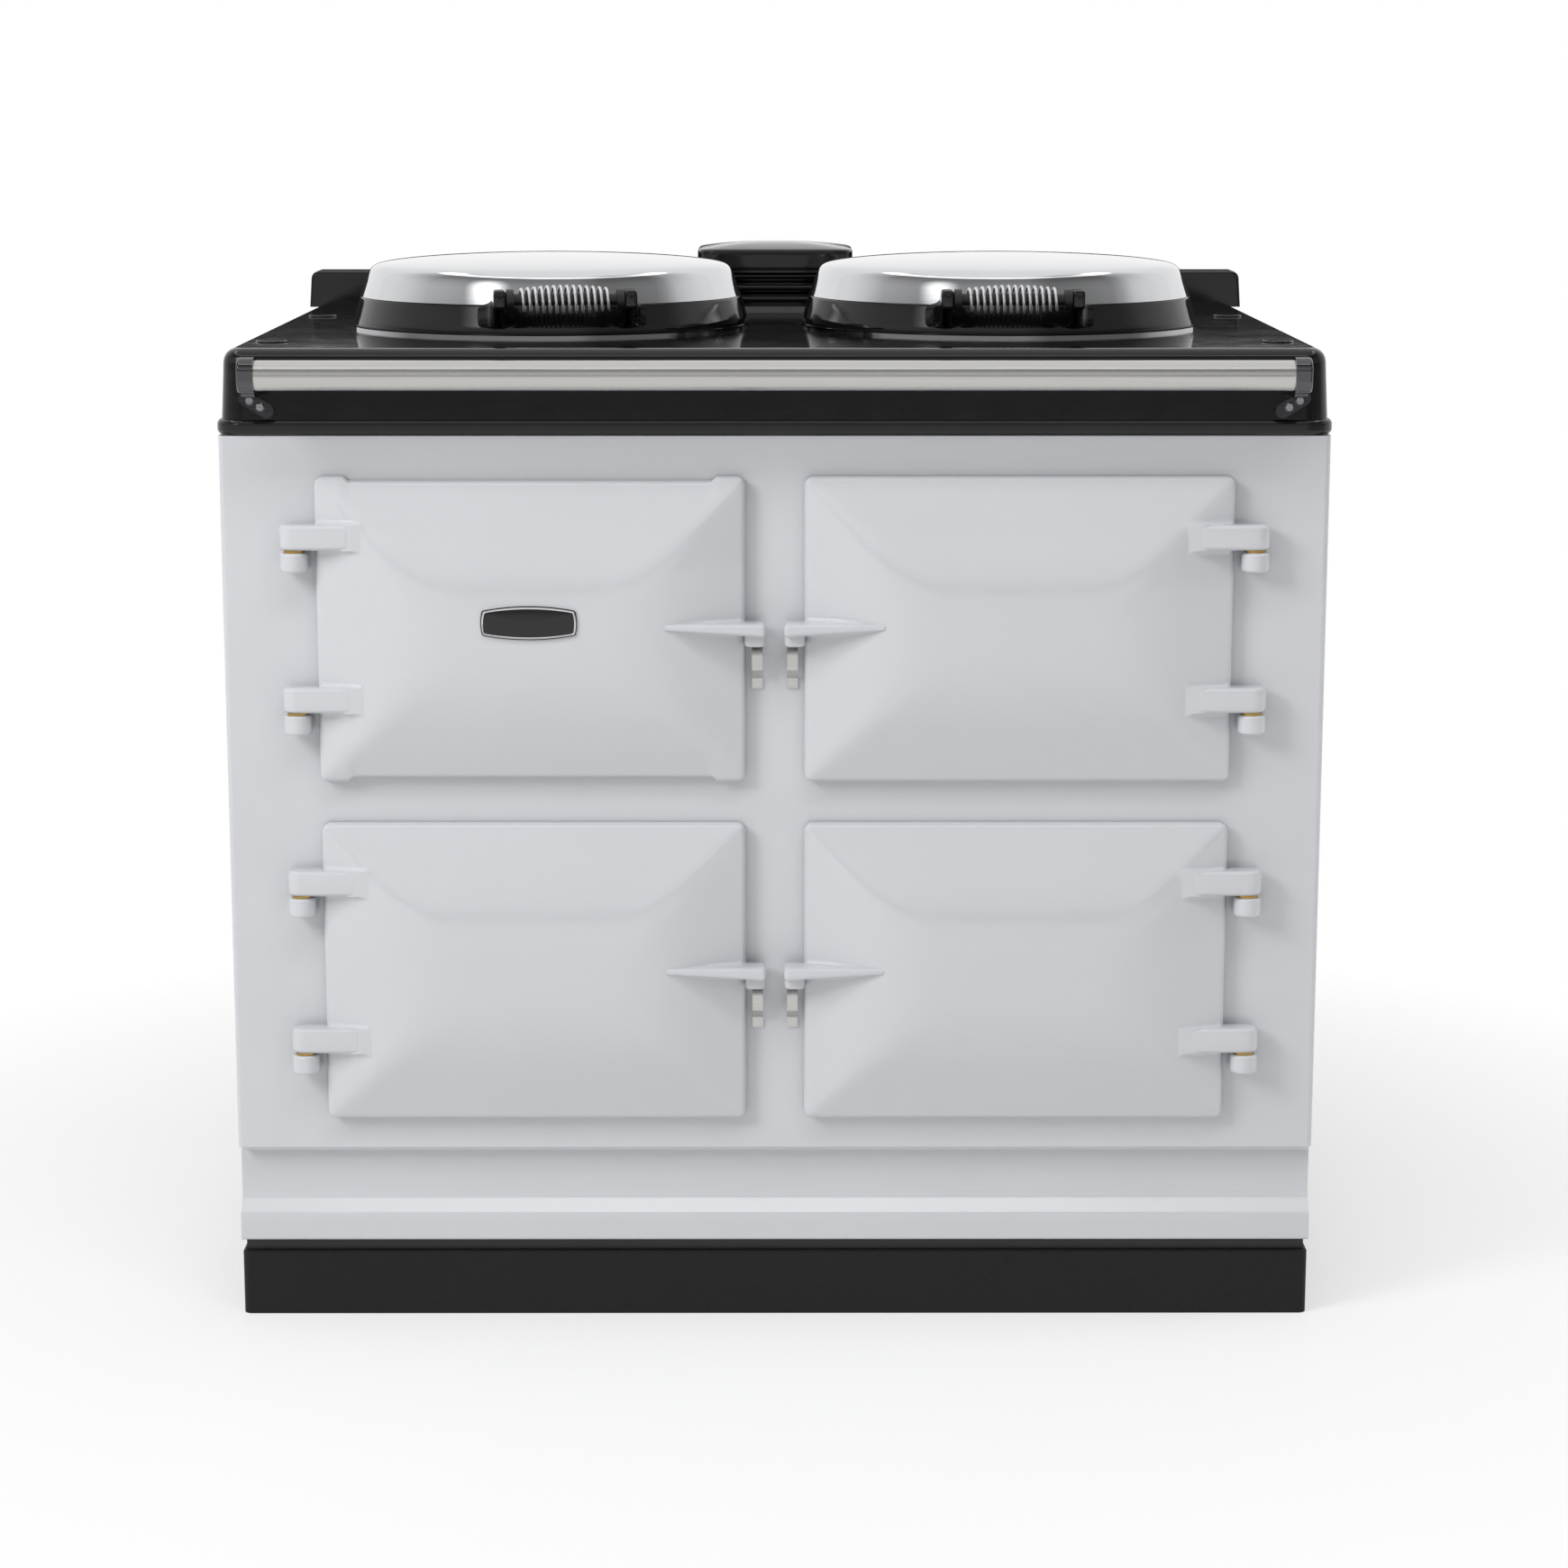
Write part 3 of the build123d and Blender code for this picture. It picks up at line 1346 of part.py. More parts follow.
# Insulation: a block that fills the shell round the ovens, the control box and the elements
with BuildPart() as insulation:
    block_front_y = front_y + skirt_depth + sheet + insulation_gap
    block_depth = back_panel_y - back_sheet - gland_tail - insulation_gap - block_front_y
    block_middle_y = block_front_y + block_depth / 2
    with BuildSketch(level(skirt_z)):
        with Locations((0, block_middle_y)):
            Rectangle(2 * (side_x - sheet - insulation_gap), block_depth)
    extrude(amount=lip_z - insulation_gap - skirt_z)
    with BuildSketch(level(lip_z - insulation_gap)):
        with Locations((0, block_middle_y)):
            Rectangle(lip_width - 2 * (top_wall + insulation_gap), block_depth)
    extrude(amount=fascia_height - top_thickness)
    with BuildSketch(level(hob_element_z)):
        with Locations((-lid_x, lid_y), (lid_x, lid_y)):
            Circle(hob_neck_radius + insulation_gap)
    extrude(amount=top_z - hob_element_z, mode=Mode.SUBTRACT)
    with BuildSketch(Plane.XZ.offset(-block_front_y)):
        with Locations((-door_x, upper_door_z)):
            Rectangle(box_width + 2 * seat_gap, box_height + 2 * seat_gap)
    extrude(amount=block_front_y - panel_y - sheet - spindle_length, mode=Mode.SUBTRACT)
    for name, side, middle_z in door_places()[1:]:
        with BuildSketch(Plane.XZ.offset(-block_front_y)):
            with Locations((side * door_x, middle_z)):
                Rectangle(
                    mouth_width + 2 * (oven_sheet + seat_gap),
                    mouth_height + 2 * (oven_sheet + seat_gap),
                )
        oven_reach_y = front_y + front_thickness + oven_depth + oven_sheet
        extrude(amount=block_front_y - oven_reach_y - seat_gap, mode=Mode.SUBTRACT)
        with BuildSketch(level(middle_z - mouth_height / 2 - oven_sheet)):
            with Locations((side * door_x, front_y + front_thickness + oven_depth / 2)):
                Rectangle(
                    mouth_width - 2 * (oven_element_margin - seat_gap),
                    oven_depth - 2 * (oven_element_margin - seat_gap),
                )
        extrude(amount=-oven_element_height - seat_gap, mode=Mode.SUBTRACT)
save(insulation, "insulation")

# Rail: a steel tube across the front
with BuildPart() as rail:
    with BuildSketch(Plane.YZ.offset(-rail_half)):
        with Locations((rail_y, rail_z)):
            Circle(rail_radius)
            Circle(rail_radius - rail_wall, mode=Mode.SUBTRACT)
    extrude(amount=2 * rail_half)
save(rail, "rail")

# Rail brackets: a rounded block with a socket, an arm that curves down, and a tilted foot
for name, side in (("rail_bracket_left", -1), ("rail_bracket_right", 1)):
    with BuildPart() as rail_bracket:
        block_y = front_y - rail_reach + bracket_block_depth / 2
        block_z = rail_z - rail_radius + bracket_block_height / 2 - bracket_block_lift
        with BuildSketch(Plane.YZ.offset(side * bracket_inner_x)):
            with Locations((block_y, block_z)):
                RectangleRounded(bracket_block_depth, bracket_block_height, bracket_block_corner)
        extrude(amount=side * bracket_width)
        fillet(rail_bracket.faces().sort_by(Axis.X)[-1 if side > 0 else 0].edges(), bracket_edge_radius)
        arm_end_y = fascia_plane(bracket_arm_rise, bracket_arm_gap).origin.Y
        with BuildSketch(Plane.YZ.offset(side * (bracket_inner_x + bracket_width / 2))):
            with BuildLine() as arm_line:
                FilletPolyline(
                    (block_y, block_z),
                    (block_y, lip_z + bracket_arm_rise),
                    (arm_end_y, lip_z + bracket_arm_rise),
                    radius=bracket_arm_bend,
                )
            trace(arm_line.line, bracket_arm_height)
        extrude(amount=bracket_width / 2 - bracket_arm_inset, both=True)
        with BuildSketch(fascia_plane(bracket_foot_rise)):
            with Locations(Location((side * bracket_foot_x, 0, 0), (0, 0, side * bracket_foot_tilt))):
                SlotOverall(bracket_foot_length, bracket_foot_width)
        extrude(amount=bracket_foot_sheet)
        with BuildSketch(fascia_plane(bracket_foot_rise)):
            with Locations(*foot_screw_places(side)):
                Circle(screw_radius + seat_gap / 2)
        extrude(amount=bracket_foot_sheet + screw_length, mode=Mode.SUBTRACT)
        with BuildSketch(Plane.YZ.offset(side * bracket_inner_x)):
            with Locations((rail_y, rail_z)):
                Circle(rail_radius + seat_gap)
        extrude(amount=side * (rail_half - bracket_inner_x + seat_gap), mode=Mode.SUBTRACT)
    save(rail_bracket, name)

# Bracket screws: two domed screws through each bracket's foot
with BuildPart() as bracket_screws:
    for side in (-1, 1):
        with BuildSketch(fascia_plane(bracket_foot_rise, bracket_foot_sheet)):
            with Locations(*foot_screw_places(side)):
                Circle(screw_head_radius)
        extrude(amount=screw_head_height, taper=screw_head_draft)
        with BuildSketch(fascia_plane(bracket_foot_rise, bracket_foot_sheet)):
            with Locations(*foot_screw_places(side)):
                Circle(screw_radius)
        extrude(amount=-screw_length, mode=Mode.ADD)
save(bracket_screws, "bracket_screws")
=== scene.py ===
"""Looks of the range cooker: finishes for its parts, pieces made here, and the studio."""

import math

import bmesh
import bpy
import numpy as np
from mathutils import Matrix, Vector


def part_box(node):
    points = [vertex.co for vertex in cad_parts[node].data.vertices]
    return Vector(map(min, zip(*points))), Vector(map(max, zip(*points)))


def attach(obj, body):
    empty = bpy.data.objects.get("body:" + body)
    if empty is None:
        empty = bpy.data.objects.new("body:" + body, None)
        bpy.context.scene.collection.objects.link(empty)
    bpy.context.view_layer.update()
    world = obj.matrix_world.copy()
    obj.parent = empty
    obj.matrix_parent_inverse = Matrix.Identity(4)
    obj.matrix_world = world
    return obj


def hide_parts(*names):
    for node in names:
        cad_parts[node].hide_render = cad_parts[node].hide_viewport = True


bl_info = {
    "name": "Range Cooker Looks",
    "version": (1, 0, 0),
    "blender": (4, 5, 0),
    "location": "View3D > Sidebar > Range Cooker",
    "description": "Builds the finishes, lids, doors and studio of a range cooker",
    "category": "Object",
}

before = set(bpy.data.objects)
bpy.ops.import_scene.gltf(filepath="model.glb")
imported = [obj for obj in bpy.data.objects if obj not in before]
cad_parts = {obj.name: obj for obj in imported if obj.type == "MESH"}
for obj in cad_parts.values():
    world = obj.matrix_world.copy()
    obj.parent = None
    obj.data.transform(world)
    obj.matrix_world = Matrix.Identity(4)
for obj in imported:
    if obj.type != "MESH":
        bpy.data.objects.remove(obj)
MM = 0.001
CREASE = math.radians(40)


# Colours and sizes


def srgb(red, green, blue):
    """Scene colour for a screen colour given from 0 to 255."""
    return tuple((c / 255 / 12.92) if c < 10 else ((c / 255 + 0.055) / 1.055) ** 2.4 for c in (red, green, blue))


def colour(name, description, *screen):
    """A colour property whose default is a screen colour, given from 0 to 255."""
    return bpy.props.FloatVectorProperty(
        name=name, description=description, subtype="COLOR", size=3, min=0, max=1, default=srgb(*screen)
    )


def length(name, description, value):
    """A length property in metres, with its default given in millimetres."""
    return bpy.props.FloatProperty(
        name=name, description=description, subtype="DISTANCE", unit="LENGTH", precision=4, default=value * MM
    )


class CookerColours(bpy.types.PropertyGroup):
    """Colours of the cooker's finishes, each named after its material slot."""

    pale_enamel: colour("Pale enamel", "Doors, front, skirt, sides and hinge knuckles", 203, 204, 208)
    black_enamel: colour("Black enamel", "Top plate, its discs, lid rings, upstand and flue", 14, 14, 16)
    plinth_black: colour("Plinth black", "Textured coating of the plinth", 22, 22, 22)
    polished_chrome: colour("Polished chrome", "Domes, hob rims, shelves, pins, screws, plaque rim", 214, 215, 217)
    # Polished chrome with its colour darkened: a painted dark reflection of dark surroundings on the rail's
    # brackets
    dark_chrome: colour("Dark chrome", "Chrome of the rail's brackets, darkened as a painted dark reflection", 92, 92, 95)
    spring_steel: colour("Spring steel", "Wire of the lids' coil grips", 214, 214, 216)
    brushed_steel: colour("Brushed steel", "Rail, door catches and hinge pins", 196, 195, 192)
    hotplate_iron: colour("Hotplate iron", "Machined faces of the hotplates", 74, 74, 77)
    oven_enamel: colour("Oven enamel", "Speckled lining of the ovens", 26, 27, 32)
    zinc_sheet: colour("Zinc sheet", "Back panel, control panel and levelling feet", 172, 176, 180)
    liner_steel: colour("Liner steel", "Pans behind the doors", 150, 152, 155)
    aluminium_liner: colour("Aluminium", "Pans inside the lids", 188, 190, 193)
    brass: colour("Brass", "Hinge washers", 178, 148, 84)
    black_steel: colour("Black steel", "Base tray, heating elements and rods in the grips", 30, 30, 31)
    black_plastic: colour("Black plastic", "Control knobs and cable gland", 24, 24, 25)
    amber_lens: colour("Lamp lens", "Lens of the control lamp", 232, 120, 18)
    rope_seal: colour("Seal rope", "Woven rope round the oven doors", 206, 202, 190)
    mineral_wool: colour("Mineral wool", "Insulation round the ovens", 168, 150, 106)
    plaque_black: colour("Plaque black", "Face of the plain plaque", 16, 16, 18)


class LidSizes(bpy.types.PropertyGroup):
    """Sizes of the hob lids that are made here."""

    turn_left: bpy.props.FloatProperty(
        name="Left grip turn",
        description="Turn of the left lid's grip about the lid's centre",
        subtype="ANGLE",
        unit="ROTATION",
        default=math.radians(6.7),
    )
    ring_foot: length("Ring foot", "Outer radius of the black ring at its foot", 190)
    ring_seam: length("Ring seam", "Radius of the seam between ring and dome", 182.5)
    seam_height: length("Seam height", "Height of the seam above the top plate", 30)
    ring_wall: length("Ring wall", "Thickness of the ring at its foot", 11)
    dome_top: length("Dome top", "Height of the dome's crown above the top plate", 69.4)
    grip_reach: length("Grip reach", "Distance from the lid's centre to the grip's axis", 222)
    grip_height: length("Grip height", "Height of the grip's axis above the top plate", 37.3)
    boss_inner: length("Boss inner face", "Distance from the grip's middle to each boss", 53.4)
    boss_width: length("Boss width", "Width of each boss along the grip", 11.6)
    boss_height: length("Boss height", "Height of each boss", 17.4)
    boss_length: length("Boss length", "Length of each boss, front to back", 18)
    arm_flare: length("Arm flare", "Radius with which each arm runs into the ring", 17)


class DoorSizes(bpy.types.PropertyGroup):
    """Sizes of the four cast doors and of the plaque on one of them."""

    width: length("Width", "Width of a door", 380)
    height: length("Height", "Height of a door", 273)
    edge: length("Edge", "Thickness of a door at its rim", 10)
    rise: length("Rise", "Rise of the middle panel above the rim", 28)
    hip: length("Hip", "Width of the sloping border", 84)
    corner: length("Corner", "Radius of the outline's corners", 8)
    rim: length("Rim", "Rounding of the rim", 4)
    back: length("Back", "Distance of a door's back plane in front of the cooker's front", 1.5)
    inner: length("Inner edge", "Distance of a door's free edge from the cooker's middle", 26)
    upper: length("Upper doors", "Height of the upper doors' middle", 637.5)
    lower: length("Lower doors", "Height of the lower doors' middle", 326.5)
    recess: length("Recess", "Depth of the control door's long recesses", 4)
    recess_end: length("Recess end", "Distance of a recess from the door's corners", 28)
    hinge: length("Hinge offset", "Distance of the hinge axis from the door's edge", 18)
    hinge_reach: length("Hinge reach", "Distance of the hinge axis in front of the cooker's front", 13.5)
    eye: length("Hinge eye", "Radius of the eye round the hinge axis", 12.5)
    lug_height: length("Lug height", "Height of a hinge lug", 22.5)
    lug_rise: length("Upper lug", "Height of the upper lug above the door's middle", 84)
    lug_drop: length("Lower lug", "Depth of the lower lug below the door's middle", 61)
    fillet: length("Fillet", "Radius with which lugs and handle run into the door", 5)
    fin_top: length("Fin top", "Height of the handle fin's top above the door's middle", 9.3)
    fin_tip: length("Fin tip", "Distance of the fin's tip from the cooker's middle", 97)
    fin_end: length("Fin end", "Distance of the fin's outer end from the cooker's middle", 8)
    plaque_width: length("Plaque width", "Width of the plain plaque", 85)
    plaque_height: length("Plaque height", "Height of the plain plaque", 30)


# Shader arithmetic


class Wire:
    """A shader socket. Arithmetic on it adds the Math nodes that work it out."""

    def __init__(self, tree, socket):
        self.tree = tree
        self.socket = socket

    def math(self, operation, first, second=0.0, clamp=False):
        settings = {"operation": operation, "use_clamp": clamp}
        return add_node(self.tree, "ShaderNodeMath", settings, {0: first, 1: second})

    def __add__(self, other):
        return self.math("ADD", self, other)

    def __radd__(self, other):
        return self.math("ADD", other, self)

    def __sub__(self, other):
        return self.math("SUBTRACT", self, other)

    def __rsub__(self, other):
        return self.math("SUBTRACT", other, self)

    def __mul__(self, other):
        return self.math("MULTIPLY", self, other)

    def __rmul__(self, other):
        return self.math("MULTIPLY", other, self)

    def __truediv__(self, other):
        return self.math("DIVIDE", self, other)

    def __rtruediv__(self, other):
        return self.math("DIVIDE", other, self)

    def __pow__(self, other):
        return self.math("POWER", self, other)

    def __abs__(self):
        return self.math("ABSOLUTE", self)

    def clamped(self):
        return self.math("ADD", self, 0.0, clamp=True)


def add_node(tree, kind, settings=None, sockets=None, output=0):
    """Add one node: its settings first, then its sockets' values or links. Returns the wire of one output."""
    node = tree.nodes.new(kind)
    for key, value in (settings or {}).items():
        if key == "stops":
            ramp = node.color_ramp
            while len(ramp.elements) < len(value):
                ramp.elements.new(0.5)
            for element, (position, shade) in zip(ramp.elements, value):
                element.position = position
                element.color = (shade, shade, shade, 1)
        else:
            setattr(node, key, value)
    for key, value in (sockets or {}).items():
        if isinstance(value, Wire):
            tree.links.new(value.socket, node.inputs[key])
        else:
            node.inputs[key].default_value = value
    return None if output is None else Wire(tree, node.outputs[output])


class Finish:
    """A material in the making: its coordinates, its patterns and its shader."""

    def __init__(self, name):
        self.material = bpy.data.materials.new(name)
        self.material.use_nodes = True
        self.tree = self.material.node_tree
        self.tree.nodes.clear()
        self.place = self.add("ShaderNodeTexCoord", output="Object")

    def add(self, kind, settings=None, sockets=None, output=0):
        return add_node(self.tree, kind, settings, sockets, output)

    def stretched(self, scale, turn=(0, 0, 0)):
        """Object coordinates, turned and then scaled along each axis."""
        return self.add("ShaderNodeMapping", None, {"Vector": self.place, "Scale": scale, "Rotation": turn})

    def noise(self, scale, detail, at=None):
        """Soft noise from 0 to 1, its features 1 / scale metres across."""
        sockets = {"Vector": at or self.place, "Scale": scale, "Detail": detail}
        return self.add("ShaderNodeTexNoise", None, sockets, "Fac")

    def cells(self, scale, output="Distance"):
        """Voronoi cells, 1 / scale metres across."""
        return self.add("ShaderNodeTexVoronoi", None, {"Vector": self.place, "Scale": scale}, output)

    def axis(self, index):
        """One of the object coordinates, in metres."""
        return self.add("ShaderNodeSeparateXYZ", None, {0: self.place}, index)

    def ramp(self, factor, stops):
        """Grey levels picked by a factor."""
        return self.add("ShaderNodeValToRGB", {"stops": stops}, {"Fac": factor}, "Color")

    def mix(self, factor, first, second):
        """Blend of two colours."""
        first = first if isinstance(first, Wire) else (*first, 1)
        second = second if isinstance(second, Wire) else (*second, 1)
        return self.add("ShaderNodeMix", {"data_type": "RGBA"}, {0: factor, 6: first, 7: second}, 2)

    def tint(self, factor, base, dark, light):
        """A colour that goes from a darker to a lighter share of itself by a factor."""
        return self.mix(factor, shaded(base, dark), shaded(base, light))

    def bump(self, height, depth, strength):
        """Normal of a surface that rises by depth metres where the height is 1."""
        sockets = {"Height": height, "Distance": depth, "Strength": strength}
        return self.add("ShaderNodeBump", None, sockets, "Normal")

    def end(self, shader):
        """Give the shader to the material's output; returns the material."""
        self.add("ShaderNodeOutputMaterial", None, {"Surface": shader}, None)
        return self.material

    def close(self, **sockets):
        """Principled shader from sockets named with underscores; returns the material."""
        named = {key.replace("_", " "): value for key, value in sockets.items()}
        return self.end(self.add("ShaderNodeBsdfPrincipled", None, named))


def shaded(base, share):
    """A colour made lighter or darker by a share."""
    return tuple(min(1.0, c * share) for c in base)


# Finishes


def pale_enamel(finish, base):
    """Pale glossy enamel: faint clouds in its colour and gloss, and an even orange peel."""
    peel = finish.noise(55, 1) * 0.7 + finish.noise(210, 2) * 0.3
    return finish.close(
        Base_Color=finish.tint(finish.noise(9, 1), base, 0.97, 1.01),
        Roughness=0.22 + 0.06 * finish.noise(31, 2),
        Coat_Weight=1.0,
        Coat_Roughness=0.045,
        Coat_IOR=1.6,
        Normal=finish.bump(peel, 0.0004, 0.2),
    )


def black_enamel(finish, base):
    """Black glossy enamel over cast iron: a shallow ripple, faint clouds and fine dust."""
    ripple = finish.noise(26, 2) * 0.75 + finish.noise(120, 2) * 0.25
    dust = finish.noise(700, 2)
    return finish.close(
        Base_Color=finish.tint(finish.noise(11, 4), base, 0.7, 1.25),
        Roughness=0.055 + 0.09 * finish.noise(30, 4) ** 2 + 0.03 * dust,
        Specular_IOR_Level=0.42,
        Normal=finish.bump(ripple, 0.0005, 0.25),
    )


def plinth_black(finish, base):
    """Matt black coating with a fine leathery grain."""
    grain = finish.cells(420) * 0.6 + finish.noise(900, 3) * 0.4
    return finish.close(
        Base_Color=finish.tint(finish.noise(9, 4), base, 0.85, 1.2),
        Roughness=0.56 + 0.16 * finish.noise(300, 2),
        Specular_IOR_Level=0.3,
        Normal=finish.bump(grain, 0.0006, 0.5),
    )


def mirror(finish, base):
    """Mirror polish with faint buffing lines and a breath of haze."""
    lines = finish.noise(40, 3, finish.stretched((1, 1, 18)))
    haze = finish.noise(18, 4)
    return finish.close(
        Base_Color=finish.tint(haze, base, 0.94, 1.03),
        Metallic=1.0,
        Roughness=0.035 + 0.06 * haze**2,
        Normal=finish.bump(lines, 0.00012, 0.12),
    )


def spring_steel(finish, base):
    """Satin spring wire: a fine grain and a soft, slightly worn gloss."""
    worn = finish.noise(60, 4)
    return finish.close(
        Base_Color=finish.tint(worn, base, 0.9, 1.06),
        Metallic=0.55,
        Roughness=0.2 + 0.12 * worn,
        Normal=finish.bump(finish.noise(900, 3), 0.00003, 0.3),
    )


def brushed_steel(finish, base):
    """Steel brushed along its length, with fine streaks in tone, gloss and height."""
    streaks = finish.noise(1, 3, finish.stretched((9, 1500, 1500)))
    return finish.close(
        Base_Color=finish.tint(streaks, base, 0.86, 1.06),
        Metallic=1.0,
        Roughness=0.16 + 0.14 * streaks,
        Normal=finish.bump(streaks, 0.00005, 0.3),
    )


def hotplate_iron(finish, base):
    """Machined iron: a fine grain, dulled in patches by heat."""
    patches = finish.noise(14, 4)
    return finish.close(
        Base_Color=finish.tint(patches, base, 0.7, 1.3),
        Metallic=0.85,
        Roughness=0.34 + 0.2 * patches,
        Normal=finish.bump(finish.noise(600, 3), 0.0002, 0.4),
    )


def oven_enamel(finish, base, speck):
    """Dark oven enamel with pale specks and a soft gloss."""
    specks = finish.ramp(finish.cells(330), [(0.0, 1.0), (0.16, 0.0)])
    return finish.close(
        Base_Color=finish.mix(specks, base, speck),
        Roughness=0.22 + 0.1 * finish.noise(40, 3),
        Coat_Weight=0.3,
        Normal=finish.bump(finish.noise(90, 2), 0.0005, 0.4),
    )


def zinc_sheet(finish, base):
    """Galvanised sheet with its broad crystals, each a little lighter or duller than the next."""
    tone = finish.add("ShaderNodeSeparateXYZ", None, {0: finish.cells(55, "Color")})
    return finish.close(
        Base_Color=finish.tint(tone, base, 0.8, 1.12),
        Metallic=0.9,
        Roughness=0.32 + 0.2 * tone,
        Normal=finish.bump(finish.noise(500, 2), 0.0001, 0.3),
    )


def sheet_metal(finish, base, roughness, scale):
    """Plain rolled sheet: long soft rolling streaks and small scuffs."""
    streaks = finish.noise(1, 4, finish.stretched(scale))
    scuffs = finish.noise(75, 5)
    return finish.close(
        Base_Color=finish.tint(streaks, base, 0.88, 1.08),
        Metallic=1.0,
        Roughness=roughness + 0.14 * streaks + 0.1 * scuffs,
        Normal=finish.bump(streaks * 0.6 + scuffs * 0.4, 0.0001, 0.35),
    )


def dark_coating(finish, base, roughness):
    """Dark coating or plastic with a fine grain and slightly uneven gloss."""
    return finish.close(
        Base_Color=finish.tint(finish.noise(35, 4), base, 0.8, 1.25),
        Roughness=roughness + 0.12 * finish.noise(140, 3),
        Normal=finish.bump(finish.noise(1100, 2), 0.0001, 0.4),
    )


def lamp_lens(finish, base):
    """Amber plastic lens with a moulded prism pattern."""
    prisms = finish.cells(700)
    return finish.close(
        Base_Color=finish.mix(prisms, base, shaded(base, 0.6)),
        Roughness=0.12 + 0.1 * prisms,
        Normal=finish.bump(prisms, 0.0004, 0.5),
    )


def fibrous(finish, base, fine, depth):
    """Matted fibres: crossing threads of noise in colour and height."""
    across = finish.noise(fine, 4, finish.stretched((1, 5, 1), (0, 0, 0.6)))
    along = finish.noise(fine, 4, finish.stretched((5, 1, 3), (0.5, 0, 0)))
    strands = across * 0.5 + along * 0.5
    return finish.close(
        Base_Color=finish.tint(strands, base, 0.62, 1.2),
        Roughness=0.9,
        Normal=finish.bump(strands, depth, 0.8),
    )


# By material slot: what makes the finish, and what it takes beside its colour
FINISHES = {
    "pale_enamel": (pale_enamel,),
    "black_enamel": (black_enamel,),
    "plinth_black": (plinth_black,),
    "polished_chrome": (mirror,),
    # The mirror finish in a darkened colour: painted dark reflection for the rail's brackets
    "dark_chrome": (mirror,),
    "spring_steel": (spring_steel,),
    "brushed_steel": (brushed_steel,),
    "hotplate_iron": (hotplate_iron,),
    "oven_enamel": (oven_enamel, srgb(150, 152, 158)),
    "zinc_sheet": (zinc_sheet,),
    "liner_steel": (sheet_metal, 0.26, (6, 6, 220)),
    "aluminium_liner": (sheet_metal, 0.3, (220, 6, 6)),
    "brass": (sheet_metal, 0.18, (60, 60, 60)),
    "black_steel": (dark_coating, 0.4),
    "black_plastic": (dark_coating, 0.34),
    "amber_lens": (lamp_lens,),
    "rope_seal": (fibrous, 420, 0.0012),
    "mineral_wool": (fibrous, 130, 0.004),
    "plaque_black": (dark_coating, 0.07),
}

# Nodes that take another finish than their slot's
OWN_FINISHES = {
    # The rail's brackets take the mirror finish darkened in colour: a painted dark reflection
    "rail_bracket_left": "dark_chrome",
    "rail_bracket_right": "dark_chrome",
    "lid_left_coil": "spring_steel",
    "lid_right_coil": "spring_steel",
}


def make_finishes(colours):
    """Every finish, by the name of its material slot, in the colour of that name."""
    finishes = {}
    for slot, (make, *more) in FINISHES.items():
        finishes[slot] = make(Finish(slot.replace("_", " ")), tuple(getattr(colours, slot)), *more)
    return finishes


def finish_named(slot):
    """The finish of a material slot, made by the first operator."""
    return bpy.data.materials[slot.replace("_", " ")]


# Surfaces


def in_mm(sizes, *names):
    """Lengths of a group of sizes by their names, in millimetres."""
    return [getattr(sizes, name) / MM for name in names]


def full_turn(steps):
    """Angles once round, without the last, which would be the first again."""
    return np.linspace(0, 2 * math.pi, steps, endpoint=False)


def quarter_turn(steps):
    """Angles of a quarter circle, with both ends."""
    return np.linspace(0, math.pi / 2, steps)


def smooth_step(value, start, end):
    """0 up to start, 1 from end on, and three times the square less twice the cube of the share between."""
    share = np.clip((value - start) / (end - start), 0, 1)
    return share * share * (3 - 2 * share)


def grid_faces(rows, columns, wrap):
    """Corner numbers of the quads of a grid of points; wrap joins its last column to its first."""
    row, column = np.mgrid[0 : rows - 1, 0 : columns if wrap else columns - 1]
    after = (column + 1) % columns
    start, below = row * columns, (row + 1) * columns
    corners = [start + column, start + after, below + after, below + column]
    return np.stack(corners, axis=-1).reshape(-1, 4)


def smooth_line(corners, steps):
    """Cubic B-spline of steps points that starts and ends at its end corners.

    Each point is the weighted sum of four neighbouring corners, with the uniform cubic weights, after both
    end corners are given three times.
    """
    corners = np.asarray(corners, float)
    held = np.concatenate([corners[:1], corners[:1], corners, corners[-1:], corners[-1:]])
    place = np.linspace(0, len(held) - 3 - 1e-9, steps)
    first = place.astype(int)
    part = (place - first)[:, None]
    weights = (
        (1 - part) ** 3 / 6,
        (3 * part**3 - 6 * part**2 + 4) / 6,
        (-3 * part**3 + 3 * part**2 + 3 * part + 1) / 6,
        part**3 / 6,
    )
    return sum(weight * held[first + n] for n, weight in enumerate(weights))


def turned(profile, steps):
    """Surface of revolution about the local Z axis.

    Point (u, v) is the profile's radius at v times (cos u, sin u), at the profile's height.
    """
    angle = full_turn(steps)
    radius, height = profile[:, 0, None], profile[:, 1, None]
    return np.stack([radius * np.cos(angle), radius * np.sin(angle), height + 0 * angle], axis=-1)


def linked(name, mesh, material):
    """A smooth object of a mesh in one finish, linked to the scene."""
    mesh.shade_smooth()
    mesh.materials.append(material)
    piece = bpy.data.objects.new(name, mesh)
    bpy.context.scene.collection.objects.link(piece)
    return piece


